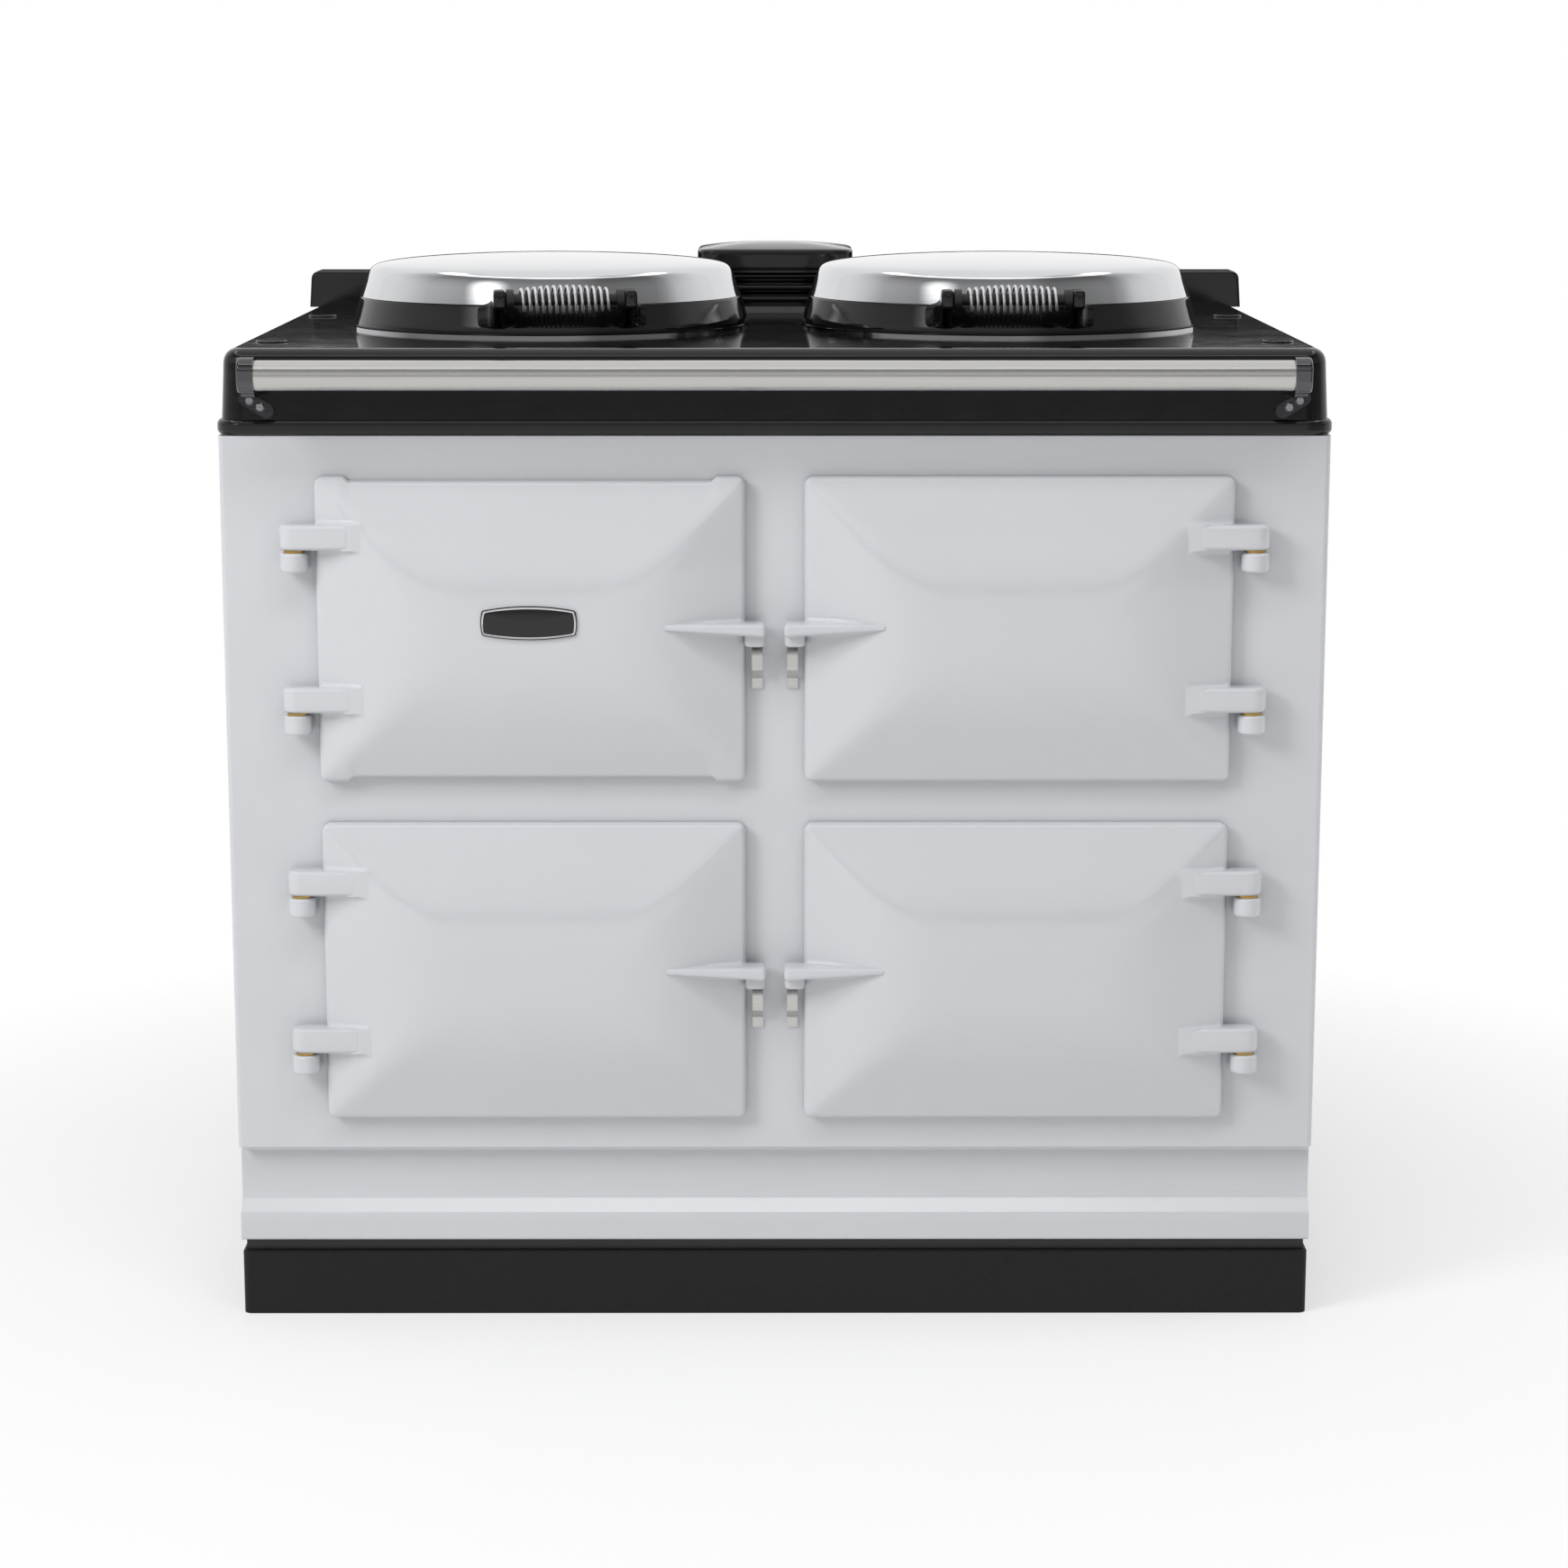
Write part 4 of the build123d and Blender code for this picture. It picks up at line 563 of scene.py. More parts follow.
def add_piece(name, shells, slot, body, replaced):
    """Make one object of closed shells, each a grid of points with a wrap flag, and ride it on its body."""
    points = np.concatenate([grid.reshape(-1, 3) for grid, wrap in shells])
    faces, start = [], 0
    for grid, wrap in shells:
        rows, columns = grid.shape[:2]
        faces.append(grid_faces(rows, columns, wrap) + start)
        start += rows * columns
    mesh = bpy.data.meshes.new(name)
    mesh.from_pydata(points.tolist(), [], np.concatenate(faces).tolist())
    form = bmesh.new()
    form.from_mesh(mesh)
    bmesh.ops.remove_doubles(form, verts=form.verts, dist=1e-6)
    bmesh.ops.dissolve_degenerate(form, edges=form.edges, dist=1e-7)
    bmesh.ops.recalc_face_normals(form, faces=form.faces)
    form.to_mesh(mesh)
    form.free()
    piece = linked(name, mesh, finish_named(slot))
    mesh.set_sharp_from_angle(angle=CREASE)
    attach(piece, body)
    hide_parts(*replaced)


# Lids: steps round their axis

LID_STEPS = 160


def lid_frame(side, sizes):
    """Centre of a lid on the top plate and the turn of its grip."""
    low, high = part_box("lid_left_dome" if side < 0 else "lid_right_dome")
    centre = np.array([(low.x + high.x) / 2, (low.y + high.y) / 2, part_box("top_plate")[1].z])
    return centre, sizes.turn_left if side < 0 else 0.0


def placed(points, centre, turn):
    """Points of a lid turned about its axis and moved to its centre."""
    x, y, z = np.moveaxis(points, -1, 0)
    cos, sin = math.cos(turn), math.sin(turn)
    return np.stack([x * cos - y * sin, x * sin + y * cos, z], axis=-1) + centre


def dome_surface(sizes):
    """Closed sheet of the dome: outer skin from foot to crown, then the inner skin back down.

    The outer skin is a B-spline from the seam up a leaning side, round a soft shoulder and over a shallow
    crown; the inner skin is the same line moved in by the sheet's thickness.
    """
    foot, seam, top = in_mm(sizes, "ring_seam", "seam_height", "dome_top")
    sheet = 1.9
    line = [
        (foot, seam),
        (foot - 1.6, seam + 4),
        (foot - 5.0, seam + 13),
        (foot - 8.0, seam + 21.5),
        (foot - 11.5, seam + 28),
        (foot - 20, seam + 31.5),
        (foot * 0.7, top - 3.9),
        (foot * 0.35, top - 0.7),
        (foot * 0.1, top),
        (0, top),
    ]
    outer = smooth_line(line, 72)
    inner = outer[::-1] - sheet
    inner[:, 0] = np.maximum(inner[:, 0], 0)
    inner[:, 1] = np.maximum(inner[:, 1], seam)
    return turned(np.concatenate([outer, inner, outer[:1]]) * MM, LID_STEPS)


def ring_surface(sizes):
    """Closed ring under the dome, turned from one outline.

    The outline goes up the drafted outer wall with rounded foot and shoulder, over the seam, and down inside.
    """
    foot, seam, top, wall = in_mm(sizes, "ring_foot", "ring_seam", "seam_height", "ring_wall")
    base = 2.8
    lean = (foot - seam) / (top - base)
    outline = [
        (foot - wall, base),
        (foot - 1.6, base),
        (foot - 0.5, 3.2),
        (foot - 0.2, 4.3),
        (foot - lean * 8, 10.8),
        (foot - lean * 16, 18.8),
        (seam + 0.6, top - 2.2),
        (seam + 0.1, top - 0.7),
        (seam - 0.9, top),
        (foot - wall - 5, top),
        (foot - wall - 5, top - 6),
        (foot - wall, top - 6),
        (foot - wall, base),
    ]
    return turned(np.array(outline) * MM, LID_STEPS)


def arm_surface(hand, sizes):
    """Arm and boss of one end of the grip, a rounded box section carried from inside the ring to the boss.

    At each reach the section's outer edge follows an arc of the flare radius that touches the boss's side and
    the ring's wall; its top climbs and its underside rises with a smooth step. The section itself is a
    superellipse of power 5, and at the boss's front it closes to a point over a short rounded nose.
    """
    foot, flare, inner, width = in_mm(sizes, "ring_foot", "arm_flare", "boss_inner", "boss_width")
    middle, height, reach, depth = in_mm(sizes, "grip_height", "boss_height", "grip_reach", "boss_length")
    root, root_top, root_low, nose = 150, 28.5, 9, 3
    outer, half, front = inner + width, height / 2, reach + depth / 2
    flare_reach = math.sqrt((foot + flare) ** 2 - (outer + flare) ** 2)
    tip = front - nose + nose * np.sin(np.linspace(0.1, math.pi / 2, 10))
    y = np.concatenate([np.linspace(root, front - nose, 60), tip])
    short = np.clip(flare_reach - y, 0, flare * 0.96)
    edge_out = outer + flare - np.sqrt(flare**2 - short**2)
    edge_in = inner - 0.3 * (edge_out - outer)
    top = root_top + (middle + half - root_top) * smooth_step(y, 164, 208)
    low = root_low + (middle - half - root_low) * smooth_step(y, 180, 213)
    rounding = np.sqrt(1 - np.clip((y - (front - nose)) / nose, 0, 1) ** 2)
    close = 0.62 + 0.38 * rounding
    close[-1] = 0
    across, upward = rounded_section(full_turn(40), 0.4)
    x = (edge_in + edge_out)[:, None] / 2 + ((edge_out - edge_in) / 2 * close)[:, None] * across
    z = (top + low)[:, None] / 2 + ((top - low) / 2 * close)[:, None] * upward
    sections = np.stack([x, -y[:, None] + 0 * x, z], axis=-1)
    sections[0] = sections[0].mean(axis=0)
    return sections * np.array([hand, 1, 1]) * MM


def flue_cap_surface():
    """Cap over the flue: rounded rectangles nested up a short wall, round a shoulder and over a low dome."""
    low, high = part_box("flue_cap")
    middle, half = (np.array(low) + np.array(high)) / 2, (np.array(high) - np.array(low)) / 2
    line = [(0.9, 0), (0.985, 0), (1, 0.03), (1, 0.2), (1, 0.5), (1, 0.66), (0.995, 0.735), (0.97, 0.775)]
    line += [(0.9, 0.81), (0.7, 0.89), (0.45, 0.965), (0.2, 1.0), (0.0, 1.0)]
    profile = smooth_line(line, 70)
    across, upward = rounded_section(full_turn(120), 0.28)
    x = middle[0] + half[0] * profile[:, :1] * across
    y = middle[1] + half[1] * profile[:, :1] * upward
    z = low.z + (high.z - low.z) * profile[:, 1:] + 0 * x
    return capped(np.stack([x, y, z], axis=-1))


def lug_surface(sizes):
    """Hinge lug behind the ring, a tapered capsule carried across the lid and closed at both ends.

    In each direction the capsule's outline is the farther of two circles, one round the hinge axis and one
    inside the ring. Going from left to right, the section is drawn in by a quarter circle over a short way at
    either end, and widens again evenly between them.
    """
    foot = sizes.ring_foot / MM
    height, half_length, edge = 15.0, 20, 1.2
    direction = full_turn(48)
    way = np.stack([np.cos(direction), np.sin(direction)], axis=-1)
    circles = ((np.array([foot + 16, height]), 9.0), (np.array([foot - 5, height]), 5.5))
    reach = [way @ middle + radius for middle, radius in circles]
    points = [middle + radius * way for middle, radius in circles]
    outline = np.where((reach[0] >= reach[1])[:, None], points[0], points[1])
    quarter = quarter_turn(6)
    left = -half_length + edge * (1 - np.sin(quarter[::-1]))
    right = half_length - edge * (1 - np.sin(quarter))
    ends = np.concatenate([[-half_length], left, right, [half_length]])
    drawn_in = edge * (1 - np.cos(quarter))
    inset = np.concatenate([[0], drawn_in, drawn_in, [0]])
    section = outline[None] - inset[:, None, None] * way[None]
    section[0] = section[-1] = circles[0][0]
    x = ends[:, None] + 0 * direction
    return np.stack([x, section[..., 0], section[..., 1]], axis=-1) * MM


# Doors, in millimetres: a lug's length from its hinge axis, and the height of the fin's underside at its
# outer end and at its tip

LUG_LENGTH = 46
FIN_LOW = (-4.1, 2.2)


def soft_min(first, second, blend):
    """Smaller of two values, with a parabola of the given breadth where they are nearly equal."""
    near = np.maximum(blend - np.abs(first - second), 0)
    return np.minimum(first, second) - near**2 / (4 * blend)


def fillet_rise(distance, radius):
    """Height of a hollow quarter round that starts at a wall and runs out at the radius."""
    reach = np.clip(radius - distance, 0, radius)
    return radius - np.sqrt(radius**2 - reach**2)


def lug_middles(sizes):
    """Heights of the two hinge lugs' middles above the door's middle, in millimetres."""
    return sizes.lug_rise / MM, -sizes.lug_drop / MM


def fin_reach(sizes):
    """Outer end and tip of the handle fin, in millimetres from the door's free edge."""
    return (sizes.fin_end - sizes.inner) / MM, (sizes.fin_tip - sizes.inner) / MM


def door_halves(sizes):
    """Half the width and half the height of a door, in millimetres."""
    return sizes.width / MM / 2, sizes.height / MM / 2


def door_lines(sizes):
    """Grid lines across and up a door, close together at its rim and where a lug or the fin meets it."""
    half_width, half_height = door_halves(sizes)
    corner, fillet, lug_height = in_mm(sizes, "corner", "fillet", "lug_height")
    rim = np.linspace(0, corner, 9)
    lug_end = half_width - 46
    across = [np.linspace(corner - half_width, half_width - corner, 84), rim - half_width, half_width - rim]
    across.append(np.linspace(lug_end - 14, lug_end + 10, 22))
    upward = [np.linspace(corner - half_height, half_height - corner, 56), rim - half_height, half_height - rim]
    for middle in lug_middles(sizes):
        for sign in (-1, 1):
            upward.append(middle + sign * (lug_height / 2 + np.linspace(-1.5, fillet, 10)))
    upward.append(np.linspace(-9.5, 15.5, 34))
    return np.unique(np.round(np.concatenate(across), 3)), np.unique(np.round(np.concatenate(upward), 3))


def hipped_height(side_distance, end_distance, sizes):
    """Height of a door's hipped front without lugs and fin, by the distances from its edges."""
    edge, rise, rim, hip = in_mm(sizes, "edge", "rise", "rim", "hip")
    distance = soft_min(side_distance, end_distance, 3 + 0.22 * np.minimum(side_distance, end_distance))
    share = soft_min(np.maximum(distance, 0) / hip, np.ones_like(distance), 0.42)
    edge_distance = np.minimum(side_distance, end_distance)
    return edge + rise * share - (rim - np.sqrt(rim**2 - np.clip(rim - edge_distance, 0, rim) ** 2))


def with_lug_fillets(height, a, b, near_end, sizes):
    """Heights raised by hollow quarter rounds beside the hinge lugs, and kept under the lugs' fronts."""
    fillet, lug_height = in_mm(sizes, "fillet", "lug_height")
    lug_inner = door_halves(sizes)[0] - 40
    bar_top = (sizes.hinge_reach + sizes.eye - sizes.back) / MM
    for middle in lug_middles(sizes):
        beside = np.maximum(np.abs(b - middle) - lug_height / 2, 0)
        beyond = np.maximum(lug_inner - a, 0) * 0.45
        room = np.clip((bar_top + 2 - height) / 6, 0, 1) * near_end
        raised = height + fillet_rise(np.hypot(beside, beyond), fillet) * room
        height = np.maximum(height, np.minimum(raised, bar_top - 0.25))
    return height


def fin_fillet(from_free, b, near_end, sizes):
    """Rise of the hollow quarter round along the handle fin, which fades out towards the hinge."""
    fin_low = np.interp(from_free, fin_reach(sizes), FIN_LOW)
    gap = np.maximum(np.maximum(b - sizes.fin_top / MM, fin_low - b), 0)
    return fillet_rise(gap, sizes.fillet / MM) * np.clip((60 - from_free) / 30, 0, 1) * near_end * 0.5


def rounded_corners(a, b, sizes):
    """Grid places with the squares at the outline's corners carried onto quarter discs."""
    half_width, half_height = door_halves(sizes)
    corner = sizes.corner / MM
    ca, cb = half_width - corner, half_height - corner
    ea, eb = np.abs(a) - ca, np.abs(b) - cb
    in_corner = (ea > 0) & (eb > 0)
    ra = np.where(in_corner, ea * np.sqrt(np.clip(1 - (eb / corner) ** 2 / 2, 0, 1)), ea)
    rb = np.where(in_corner, eb * np.sqrt(np.clip(1 - (ea / corner) ** 2 / 2, 0, 1)), eb)
    return np.sign(a) * (ca + ra), np.sign(b) * (cb + rb)


def door_skin(name, sizes):
    """Front of a door as heights above its back plane, over a grid that follows its rounded outline.

    The height at a point is the rim's thickness plus the hip's slope times the soft smaller of its distances
    from the four edges, levelling off softly at the middle panel, less a quarter round at the rim, plus
    hollow quarter rounds beside the lugs and the fin. The outline's corners are squares of the grid carried
    onto quarter discs, and the control door's long edges are drawn in by a smooth step. Columns run towards
    the hinge.
    """
    half_width, half_height = door_halves(sizes)
    a, b = np.meshgrid(*door_lines(sizes))
    side_distance, end_distance = half_height - np.abs(b), half_width - np.abs(a)
    near_end = np.clip(end_distance / 4, 0, 1)
    height = hipped_height(side_distance, end_distance, sizes)
    height = with_lug_fillets(height, a, b, near_end, sizes)
    height = height + fin_fillet(a + half_width, b, near_end, sizes)
    a, b = rounded_corners(a, b, sizes)
    if name == "control":
        recess, recess_end = in_mm(sizes, "recess", "recess_end")
        along = smooth_step(half_width - recess_end - np.abs(a), -2.5, 2.5)
        near = np.clip((np.abs(b) - half_height + 30) / 30, 0, 1)
        b = b - np.sign(b) * recess * along * near
    return a, b, height


def rounded_bar(start, end, low, high, radius, rounding):
    """Level bar with round ends, its long edges rounded by quarter circles, closed above and below.

    Its outline at each height is the line from start to end, thickened by the radius less the inset that the
    quarter circle gives at that height.
    """
    quarter = quarter_turn(7)
    inset = rounding * (1 - np.sin(quarter))
    rise = rounding * (1 - np.cos(quarter))
    levels = np.concatenate([low + rise, (high - rise)[::-1]])
    thick = (radius - np.concatenate([inset, inset[::-1]]))[:, None]
    half = np.linspace(-math.pi / 2, math.pi / 2, 28)
    turn = np.concatenate([half, half + math.pi])
    centre = np.repeat([end, start], len(half), axis=0)
    a = centre[:, 0] + thick * np.cos(turn)
    y = centre[:, 1] + thick * np.sin(turn)
    z = levels[:, None] + 0 * a
    return capped(np.stack([a, y, z], axis=-1))


def capped(rows):
    """Rows of points with the first and last row closed to their own middles."""
    first = np.broadcast_to(rows[:1].mean(axis=1, keepdims=True), rows[:1].shape)
    last = np.broadcast_to(rows[-1:].mean(axis=1, keepdims=True), rows[-1:].shape)
    return np.concatenate([first, rows, last])


def rounded_section(turn, power):
    """Unit superellipse round a section: the signed powers of its cosine and sine."""
    across = np.sign(np.cos(turn)) * np.abs(np.cos(turn)) ** power
    upward = np.sign(np.sin(turn)) * np.abs(np.sin(turn)) ** power
    return across, upward


def handle_fin(sizes):
    """Handle fin, a rounded section carried from its blunt outer end to a slender tip sunk in the door.

    Along the fin its top sinks a little towards the tip, its underside rises and its front keeps nearly one
    depth; the outer end is drawn in by a quarter circle.
    """
    end, tip = (place - door_halves(sizes)[0] for place in fin_reach(sizes))
    rounding, quarter = 3.5, quarter_turn(8)
    a = np.concatenate([end + rounding * (1 - np.cos(quarter)), np.linspace(end + 5, tip, 30)])
    shrink = np.concatenate([rounding * (1 - np.sin(quarter)), np.zeros(30)])
    share = (a - end) / (tip - end)
    top = sizes.fin_top / MM - 0.6 * share**3
    low = FIN_LOW[0] + (FIN_LOW[1] - FIN_LOW[0]) * share**0.85
    front, back = -36.0 + 1.2 * share**4, -6.0
    depth_way, up_way = rounded_section(full_turn(36), 0.5)
    half_depth = ((back - front) / 2 - shrink)[:, None]
    half_high = ((top - low) / 2 - shrink)[:, None]
    y = ((front + back) / 2)[:, None] + half_depth * depth_way
    z = ((top + low) / 2)[:, None] + half_high * up_way
    return capped(np.stack([a[:, None] + 0 * y, y, z], axis=-1))


def latch_boss(sizes):
    """Latch boss under the fin's outer end: a rounded block that hangs down behind the catch.

    Its section is a superellipse, drawn in by a quarter circle at its lower end.
    """
    half_width, half_depth, rounding, bottom = 9.5, 11, 3, -13
    quarter = quarter_turn(7)
    z = np.concatenate([[4.0], np.linspace(2, -9, 5), bottom + rounding * (1 - np.sin(quarter))])
    shrink = np.concatenate([np.zeros(6), rounding * (1 - np.cos(quarter))])
    middle = fin_reach(sizes)[0] - door_halves(sizes)[0] + half_width
    across, upward = rounded_section(full_turn(36), 0.5)
    a = middle + (half_width - shrink)[:, None] * across
    y = -15 + (half_depth - shrink)[:, None] * upward
    return capped(np.stack([a, y, z[:, None] + 0 * a], axis=-1))


def door_shells(name, sizes):
    """Closed shells of one door in millimetres: columns towards the hinge, depth from the cooker's front."""
    a, b, height = door_skin(name, sizes)
    back = -sizes.back / MM
    front = np.stack([a, back - height, b], axis=-1)
    loop = np.concatenate([front[0, :-1], front[:-1, -1], front[-1, :0:-1], front[:0:-1, 0]])
    behind = loop * np.array([1, 0, 1]) + np.array([0, back, 0])
    inner = behind * np.array([0.9, 1, 0.9])
    wall = np.stack([loop, behind, inner, inner * np.array([0, 1, 0])])
    shells = [(front, False), (wall, True)]
    hinge, hinge_reach, lug_height, eye = in_mm(sizes, "hinge", "hinge_reach", "lug_height", "eye")
    axis_a, axis_y = door_halves(sizes)[0] + hinge, -hinge_reach
    for middle in lug_middles(sizes):
        low, high = middle - lug_height / 2, middle + lug_height / 2
        bar = rounded_bar((axis_a - LUG_LENGTH, axis_y), (axis_a, axis_y), low, high, eye, 4)
        bar[..., 1] = np.minimum(bar[..., 1], back)
        shells.append((bar, True))
    return [*shells, (handle_fin(sizes), True), (latch_boss(sizes), True)]


def on_cooker(points, side, middle, sizes):
    """Door points in metres on the cooker: mirrored to their side and set in front of the front plate."""
    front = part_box("front_plate")[0].y
    across = sizes.inner + sizes.width / 2
    a, y, z = np.moveaxis(points * MM, -1, 0)
    return np.stack([side * (across + a), front + y, middle + z], axis=-1)


def plaque_loop(sizes, inset, depth):
    """Outline of the plain plaque, drawn in by an inset, at a depth in front of the door.

    Its long edges bow outwards as parabolas, its ends a little less, and neighbouring points are averaged to
    round its corners.
    """
    half_width, half_height = (size / 2 for size in in_mm(sizes, "plaque_width", "plaque_height"))
    part = np.linspace(-1, 1, 60, endpoint=False)
    top = np.stack([part * (half_width - 1.5), half_height - 4 * part**2], axis=-1)
    end = np.stack([half_width - 1.5 * part**2, -part * (half_height - 4)], axis=-1)
    loop = np.concatenate([top, end, -top, -end])
    for _ in range(5):
        loop = (np.roll(loop, 1, axis=0) + 2 * loop + np.roll(loop, -1, axis=0)) / 4
    loop = loop * (1 - inset / np.array([half_width, half_height]))
    return np.stack([loop[:, 0], np.full(len(loop), -depth), loop[:, 1]], axis=-1)


def plaque_shells(sizes):
    """Bevelled rim and face of the plaque as nested outlines; the face rises to a low crown as a parabola."""
    base = sum(in_mm(sizes, "edge", "rise", "back"))
    bevel = [(0.7, 0.0), (0.7, 1.4), (1.1, 2.5), (1.6, 2.9), (2.2, 2.7), (2.7, 2.0), (2.9, 1.2), (2.9, 0.0)]
    # The face's edge starts outside the rim's foot, so a thin black band shows round the rim: a painted shadow
    # line
    face_edge_with_shadow_line = [(0, 0), (0, 1.2), (0.8, 1.3), (3, 1.9)]
    rim = np.stack([plaque_loop(sizes, inset, base + rise) for inset, rise in [*bevel, bevel[0]]])
    edge = np.stack([plaque_loop(sizes, inset, base + rise) for inset, rise in face_edge_with_shadow_line])
    share = np.linspace(1, 0, 9)[1:, None, None]
    crown = edge[-1:] * np.concatenate([share, share**0, share], axis=-1) - np.array([0, 0.7, 0]) * (1 - share**2)
    return rim, capped(np.concatenate([edge, crown]))


# Operators


class CookerOperator(bpy.types.Operator):
    """What the cooker's operators share."""

    bl_options = {"REGISTER", "UNDO"}


class COOKER_OT_finishes(CookerOperator):
    """Make every finish and give it to the parts that carry its slot"""

    bl_idname = "cooker.finishes"
    bl_label = "Finishes"

    def execute(self, context):
        finishes = make_finishes(context.scene.cooker_colours)
        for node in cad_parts.values():
            for slot in node.material_slots:
                slot.material = finishes[slot.material.name.split(".")[0]]
        for name, finish in OWN_FINISHES.items():
            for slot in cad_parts[name].material_slots:
                slot.material = finishes[finish]
        return {"FINISHED"}


class COOKER_OT_lid_domes(CookerOperator):
    """Make the polished domes of the two hob lids"""

    bl_idname = "cooker.lid_domes"
    bl_label = "Lid domes"

    def execute(self, context):
        sizes = context.scene.cooker_lids
        for name, side in (("left", -1), ("right", 1)):
            shell = placed(dome_surface(sizes), *lid_frame(side, sizes))
            add_piece(f"dome_{name}", [(shell, True)], "polished_chrome", f"lid_{name}", [f"lid_{name}_dome"])
        return {"FINISHED"}


class COOKER_OT_lid_rings(CookerOperator):
    """Make the black rings of the two hob lids with the arms that carry their grips"""

    bl_idname = "cooker.lid_rings"
    bl_label = "Lid rings"

    def execute(self, context):
        sizes = context.scene.cooker_lids
        for name, side in (("left", -1), ("right", 1)):
            centre, turn = lid_frame(side, sizes)
            turned_pieces = (ring_surface(sizes), arm_surface(-1, sizes), arm_surface(1, sizes))
            shells = [(placed(points, centre, turn), True) for points in turned_pieces]
            shells.append((placed(lug_surface(sizes), centre, 0.0), True))
            add_piece(f"ring_{name}", shells, "black_enamel", f"lid_{name}", [f"lid_{name}_ring"])
        return {"FINISHED"}


class COOKER_OT_doors(CookerOperator):
    """Make the four cast doors with their hinge lugs, handle fins and latch bosses"""

    bl_idname = "cooker.doors"
    bl_label = "Doors"

    def execute(self, context):
        sizes = context.scene.cooker_doors
        places = (("control", -1, sizes.upper), ("roasting", 1, sizes.upper))
        places += (("simmering", -1, sizes.lower), ("baking", 1, sizes.lower))
        for name, side, middle in places:
            shells = [(on_cooker(points, side, middle, sizes), wrap) for points, wrap in door_shells(name, sizes)]
            add_piece(f"cast_door_{name}", shells, "pale_enamel", f"door_{name}_body", [f"door_{name}"])
        return {"FINISHED"}


class COOKER_OT_plaque(CookerOperator):
    """Make the plain plaque on the control door: a polished bevelled rim round a black face"""

    bl_idname = "cooker.plaque"
    bl_label = "Plaque"

    def execute(self, context):
        sizes = context.scene.cooker_doors
        low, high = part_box("badge_plate")
        across = sizes.inner + sizes.width / 2
        rim, face = plaque_shells(sizes)
        for name, slot, points in (("rim", "polished_chrome", rim), ("face", "plaque_black", face)):
            points = on_cooker(points, 1, (low.z + high.z) / 2, sizes) - np.array([2 * across, 0, 0])
            add_piece(f"plaque_{name}", [(points, True)], slot, "door_control_body", ["badge_plate"])
        return {"FINISHED"}


class COOKER_OT_flue_cap(CookerOperator):
    """Make the domed cap of the flue box"""

    bl_idname = "cooker.flue_cap"
    bl_label = "Flue cap"

    def execute(self, context):
        add_piece("flue_dome", [(flue_cap_surface(), True)], "black_enamel", "cooker", ["flue_cap"])
        return {"FINISHED"}


class COOKER_OT_studio(CookerOperator):
    """Set up the floor, the wall and strip for reflections, the lamps and the camera"""

    bl_idname = "cooker.studio"
    bl_label = "Studio"

    def execute(self, context):
        make_floor()
        make_wall()
        make_strip()
        make_world()
        make_lamps()
        make_camera()
        return {"FINISHED"}


# Studio: the camera's place, its lens in millimetres and its two turns in degrees

EYE = (0.0025, -3.5416, 1.1108)
LENS = 84.06
LOOK_DOWN = 10.78
LOOK_LEFT = -0.1


def seen_by_eye(tree):
    """1 for rays from the camera and for reflected and transmitted rays."""
    path = add_node(tree, "ShaderNodeLightPath", output="Is Camera Ray")
    outputs = path.socket.node.outputs
    return (path + Wire(tree, outputs["Is Glossy Ray"]) + Wire(tree, outputs["Is Transmission Ray"])).clamped()


def make_floor():
    """Round pale floor whose rim turns into the white background."""
    finish = Finish("studio floor")
    tint = finish.mix(finish.noise(3, 4), srgb(244, 244, 244), srgb(249, 249, 249))
    matt = finish.add("ShaderNodeBsdfPrincipled", None, {"Base Color": tint, "Roughness": 0.6})
    white = finish.add("ShaderNodeEmission", None, {"Color": (1, 1, 1, 1), "Strength": 1.0})
    distance = finish.add("ShaderNodeVectorMath", {"operation": "LENGTH"}, {0: finish.place}, "Value")
    fade = 0.5 + 0.5 * ((distance - 0.5) / 0.75).clamped()
    seen = fade * seen_by_eye(finish.tree)
    shader = finish.add("ShaderNodeMixShader", None, {0: seen, 1: matt, 2: white})
    angle, radius = np.meshgrid(full_turn(96), np.array([0.0, 0.5, 1.5, 4, 12]))
    grid = np.stack([radius * np.cos(angle), radius * np.sin(angle), 0 * angle - 0.0005], axis=-1)
    stage_piece("studio_floor", grid, finish.end(shader), True)


def stage_piece(name, grid, material, wrap):
    """A plain surface of the studio, which isn't part of the cooker."""
    mesh = bpy.data.meshes.new(name)
    mesh.from_pydata(grid.reshape(-1, 3).tolist(), [], grid_faces(*grid.shape[:2], wrap).tolist())
    piece = linked(name, mesh, material)
    return piece


def card(name, grid, finish, shade, strength):
    """A glowing card that is seen only in reflections."""
    glow = finish.add("ShaderNodeEmission", None, {"Color": shade, "Strength": strength})
    piece = stage_piece(name, grid, finish.end(glow), False)
    piece.visible_camera = False
    piece.visible_diffuse = False
    piece.visible_shadow = False


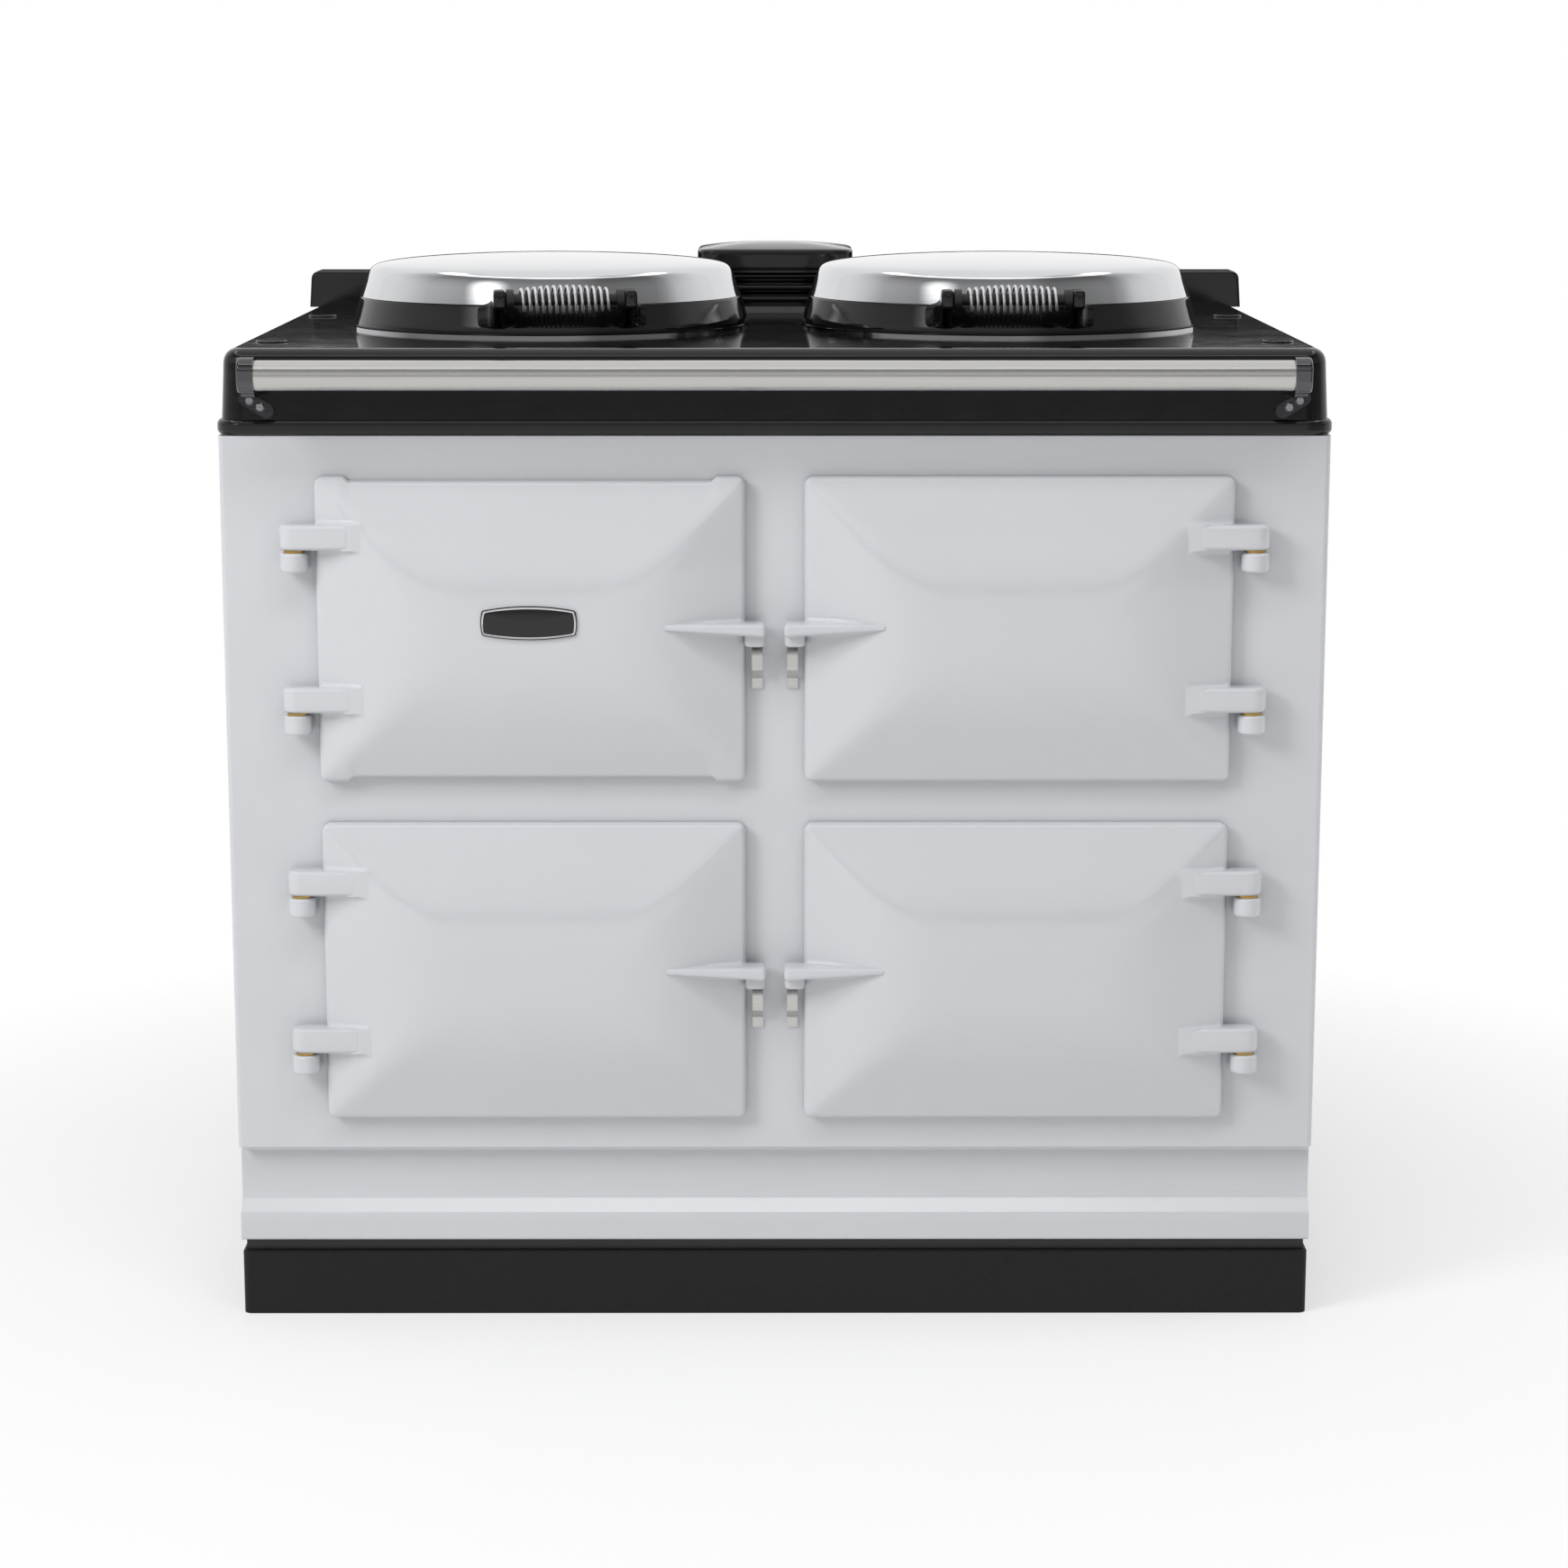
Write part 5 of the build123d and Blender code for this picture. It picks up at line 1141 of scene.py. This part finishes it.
def make_wall():
    """Part of a sphere in front of the cooker that its polished parts reflect.

    Its greys go by height, darker on the right and pale towards the back. The key lamp glows in it as a soft
    disc, and the long strip above the front as a soft band.
    """
    radius, middle, top = 5.5, 0.93, 6
    pale, key_glow, glow_radius = (0.95, 0.95, 0.95), (-3.16, -3.63, 3.6), 1.35
    stops = [(0, 0.95), (0.125, 0.8), (0.155, 0.27), (0.21, 0.27), (0.25, 0.7), (0.47, 0.75), (0.62, 0.46)]
    stops += [(0.74, 0.27), (0.86, 0.2), (0.93, 0.5), (0.985, 0.95)]
    finish = Finish("studio wall")
    across, along, height = finish.axis(0), finish.axis(1), finish.axis(2) / top
    right = ((across - 1.3) / 1.2).clamped() * ((0.2 - along) / 1.4).clamped()
    behind = ((along + 0.6) / 3).clamped()
    shade = finish.mix(right * 0.5, finish.ramp(height, stops), (0.04, 0.04, 0.04))
    shade = finish.mix(behind, shade, pale)
    ends = {0: finish.place, 1: key_glow}
    away = finish.add("ShaderNodeVectorMath", {"operation": "DISTANCE"}, ends, "Value")
    glow = (1 - away / glow_radius).clamped() ** 1.5
    band = (1 - abs(height - 0.9) / 0.06).clamped() ** 1.5
    angle, rise = np.meshgrid(np.radians(np.linspace(-216, 36, 90)), np.radians(np.linspace(-9.4, 66, 30)))
    flat = radius * np.cos(rise)
    sphere = np.stack([flat * np.cos(angle), flat * np.sin(angle), middle + radius * np.sin(rise)], axis=-1)
    card("studio_wall", sphere, finish, shade, 1 + 9 * glow + 6 * band)


def make_strip():
    """Low dark strip behind the top plate, which keeps its reflection black."""
    finish = Finish("studio strip")
    across, height = np.meshgrid(np.linspace(-0.75, 0.75, 12), np.linspace(0.86, 0.96, 4))
    card("studio_strip", np.stack([across, 0.5 + 0 * across, height], axis=-1), finish, (0.03, 0.03, 0.03, 1), 1.0)


def make_world():
    """White surroundings to the eye, and an even grey light on the cooker."""
    world = bpy.data.worlds.new("studio")
    bpy.context.scene.world = world
    world.use_nodes = True
    tree = world.node_tree
    tree.nodes.clear()
    light = add_node(tree, "ShaderNodeBackground", None, {"Color": (0.96, 0.98, 1.0, 1), "Strength": 0.25})
    white = add_node(tree, "ShaderNodeBackground", None, {"Color": (1, 1, 1, 1), "Strength": 1.0})
    shader = add_node(tree, "ShaderNodeMixShader", None, {0: seen_by_eye(tree), 1: light, 2: white})
    add_node(tree, "ShaderNodeOutputWorld", None, {"Surface": shader}, None)


def add_lamp(name, place, aim, size, energy):
    """Rectangular soft lamp at a place, aimed at a point. Reflections don't show it."""
    data = bpy.data.lights.new(name, "AREA")
    data.shape = "RECTANGLE"
    data.size, data.size_y = size
    data.energy = energy
    lamp = bpy.data.objects.new(name, data)
    lamp.visible_glossy = False
    bpy.context.scene.collection.objects.link(lamp)
    lamp.location = place
    lamp.rotation_euler = look_turn(np.array(aim) - np.array(place))


def look_turn(way):
    """Euler turn that points an object's -Z axis along a direction, upright."""
    flat = math.hypot(way[0], way[1])
    return (math.atan2(flat, -way[2]), 0, math.atan2(-way[0], way[1]))


def make_lamps():
    """Large key lamp from the upper left, weak fill and side light from the right, strip above the front.

    Sizes are in metres and energies in watts. No lamp is mirrored itself; the wall glows softly in their place.
    """
    add_lamp("key", (-3.1, -2.6, 2.9), (0, -0.3, 0.5), (1.5, 1.7), 112)
    add_lamp("fill", (2.6, -3.2, 1.3), (0, -0.3, 0.5), (1.2, 1.6), 7)
    add_lamp("side", (3.6, 0.1, 1.7), (0.4, 0, 0.5), (1.6, 1.6), 34)
    add_lamp("strip", (0, -1.7, 3.2), (0, -0.3, 0.6), (3.4, 0.6), 36)


def make_camera():
    """Camera at the photograph's viewing angle, with no shift and no depth of field."""
    data = bpy.data.cameras.new("camera")
    data.sensor_width = 36
    data.lens = LENS
    data.clip_start = 0.05
    data.clip_end = 50
    camera = bpy.data.objects.new("camera", data)
    camera.location = EYE
    camera.rotation_euler = (math.radians(90 - LOOK_DOWN), 0, math.radians(LOOK_LEFT))
    bpy.context.scene.collection.objects.link(camera)
    bpy.context.scene.camera = camera


# Panel and registration


class COOKER_PT_looks(bpy.types.Panel):
    """Lists the cooker's pieces and settings"""

    bl_label = "Range Cooker"
    bl_space_type = "VIEW_3D"
    bl_region_type = "UI"
    bl_category = "Range Cooker"

    def draw(self, context):
        for operator in OPERATORS:
            self.layout.operator(operator.bl_idname)
        for group in (getattr(context.scene, name) for name in GROUPS):
            column = self.layout.column()
            for name in group.__annotations__:
                column.prop(group, name)


OPERATORS = (
    COOKER_OT_finishes,
    COOKER_OT_lid_domes,
    COOKER_OT_lid_rings,
    COOKER_OT_doors,
    COOKER_OT_plaque,
    COOKER_OT_flue_cap,
    COOKER_OT_studio,
)
GROUPS = {"cooker_colours": CookerColours, "cooker_lids": LidSizes, "cooker_doors": DoorSizes}
CLASSES = (*GROUPS.values(), *OPERATORS, COOKER_PT_looks)


def register():
    for kind in CLASSES:
        bpy.utils.register_class(kind)
    for name, group in GROUPS.items():
        setattr(bpy.types.Scene, name, bpy.props.PointerProperty(type=group))


def unregister():
    for name in GROUPS:
        delattr(bpy.types.Scene, name)
    for kind in reversed(CLASSES):
        bpy.utils.unregister_class(kind)


def main():
    """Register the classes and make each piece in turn."""
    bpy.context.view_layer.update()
    bpy.context.scene.view_settings.view_transform = "Standard"
    register()
    bpy.ops.cooker.finishes()
    bpy.ops.cooker.lid_domes()
    bpy.ops.cooker.lid_rings()
    bpy.ops.cooker.doors()
    bpy.ops.cooker.plaque()
    bpy.ops.cooker.flue_cap()
    bpy.ops.cooker.studio()


if __name__ == "__main__":
    main()
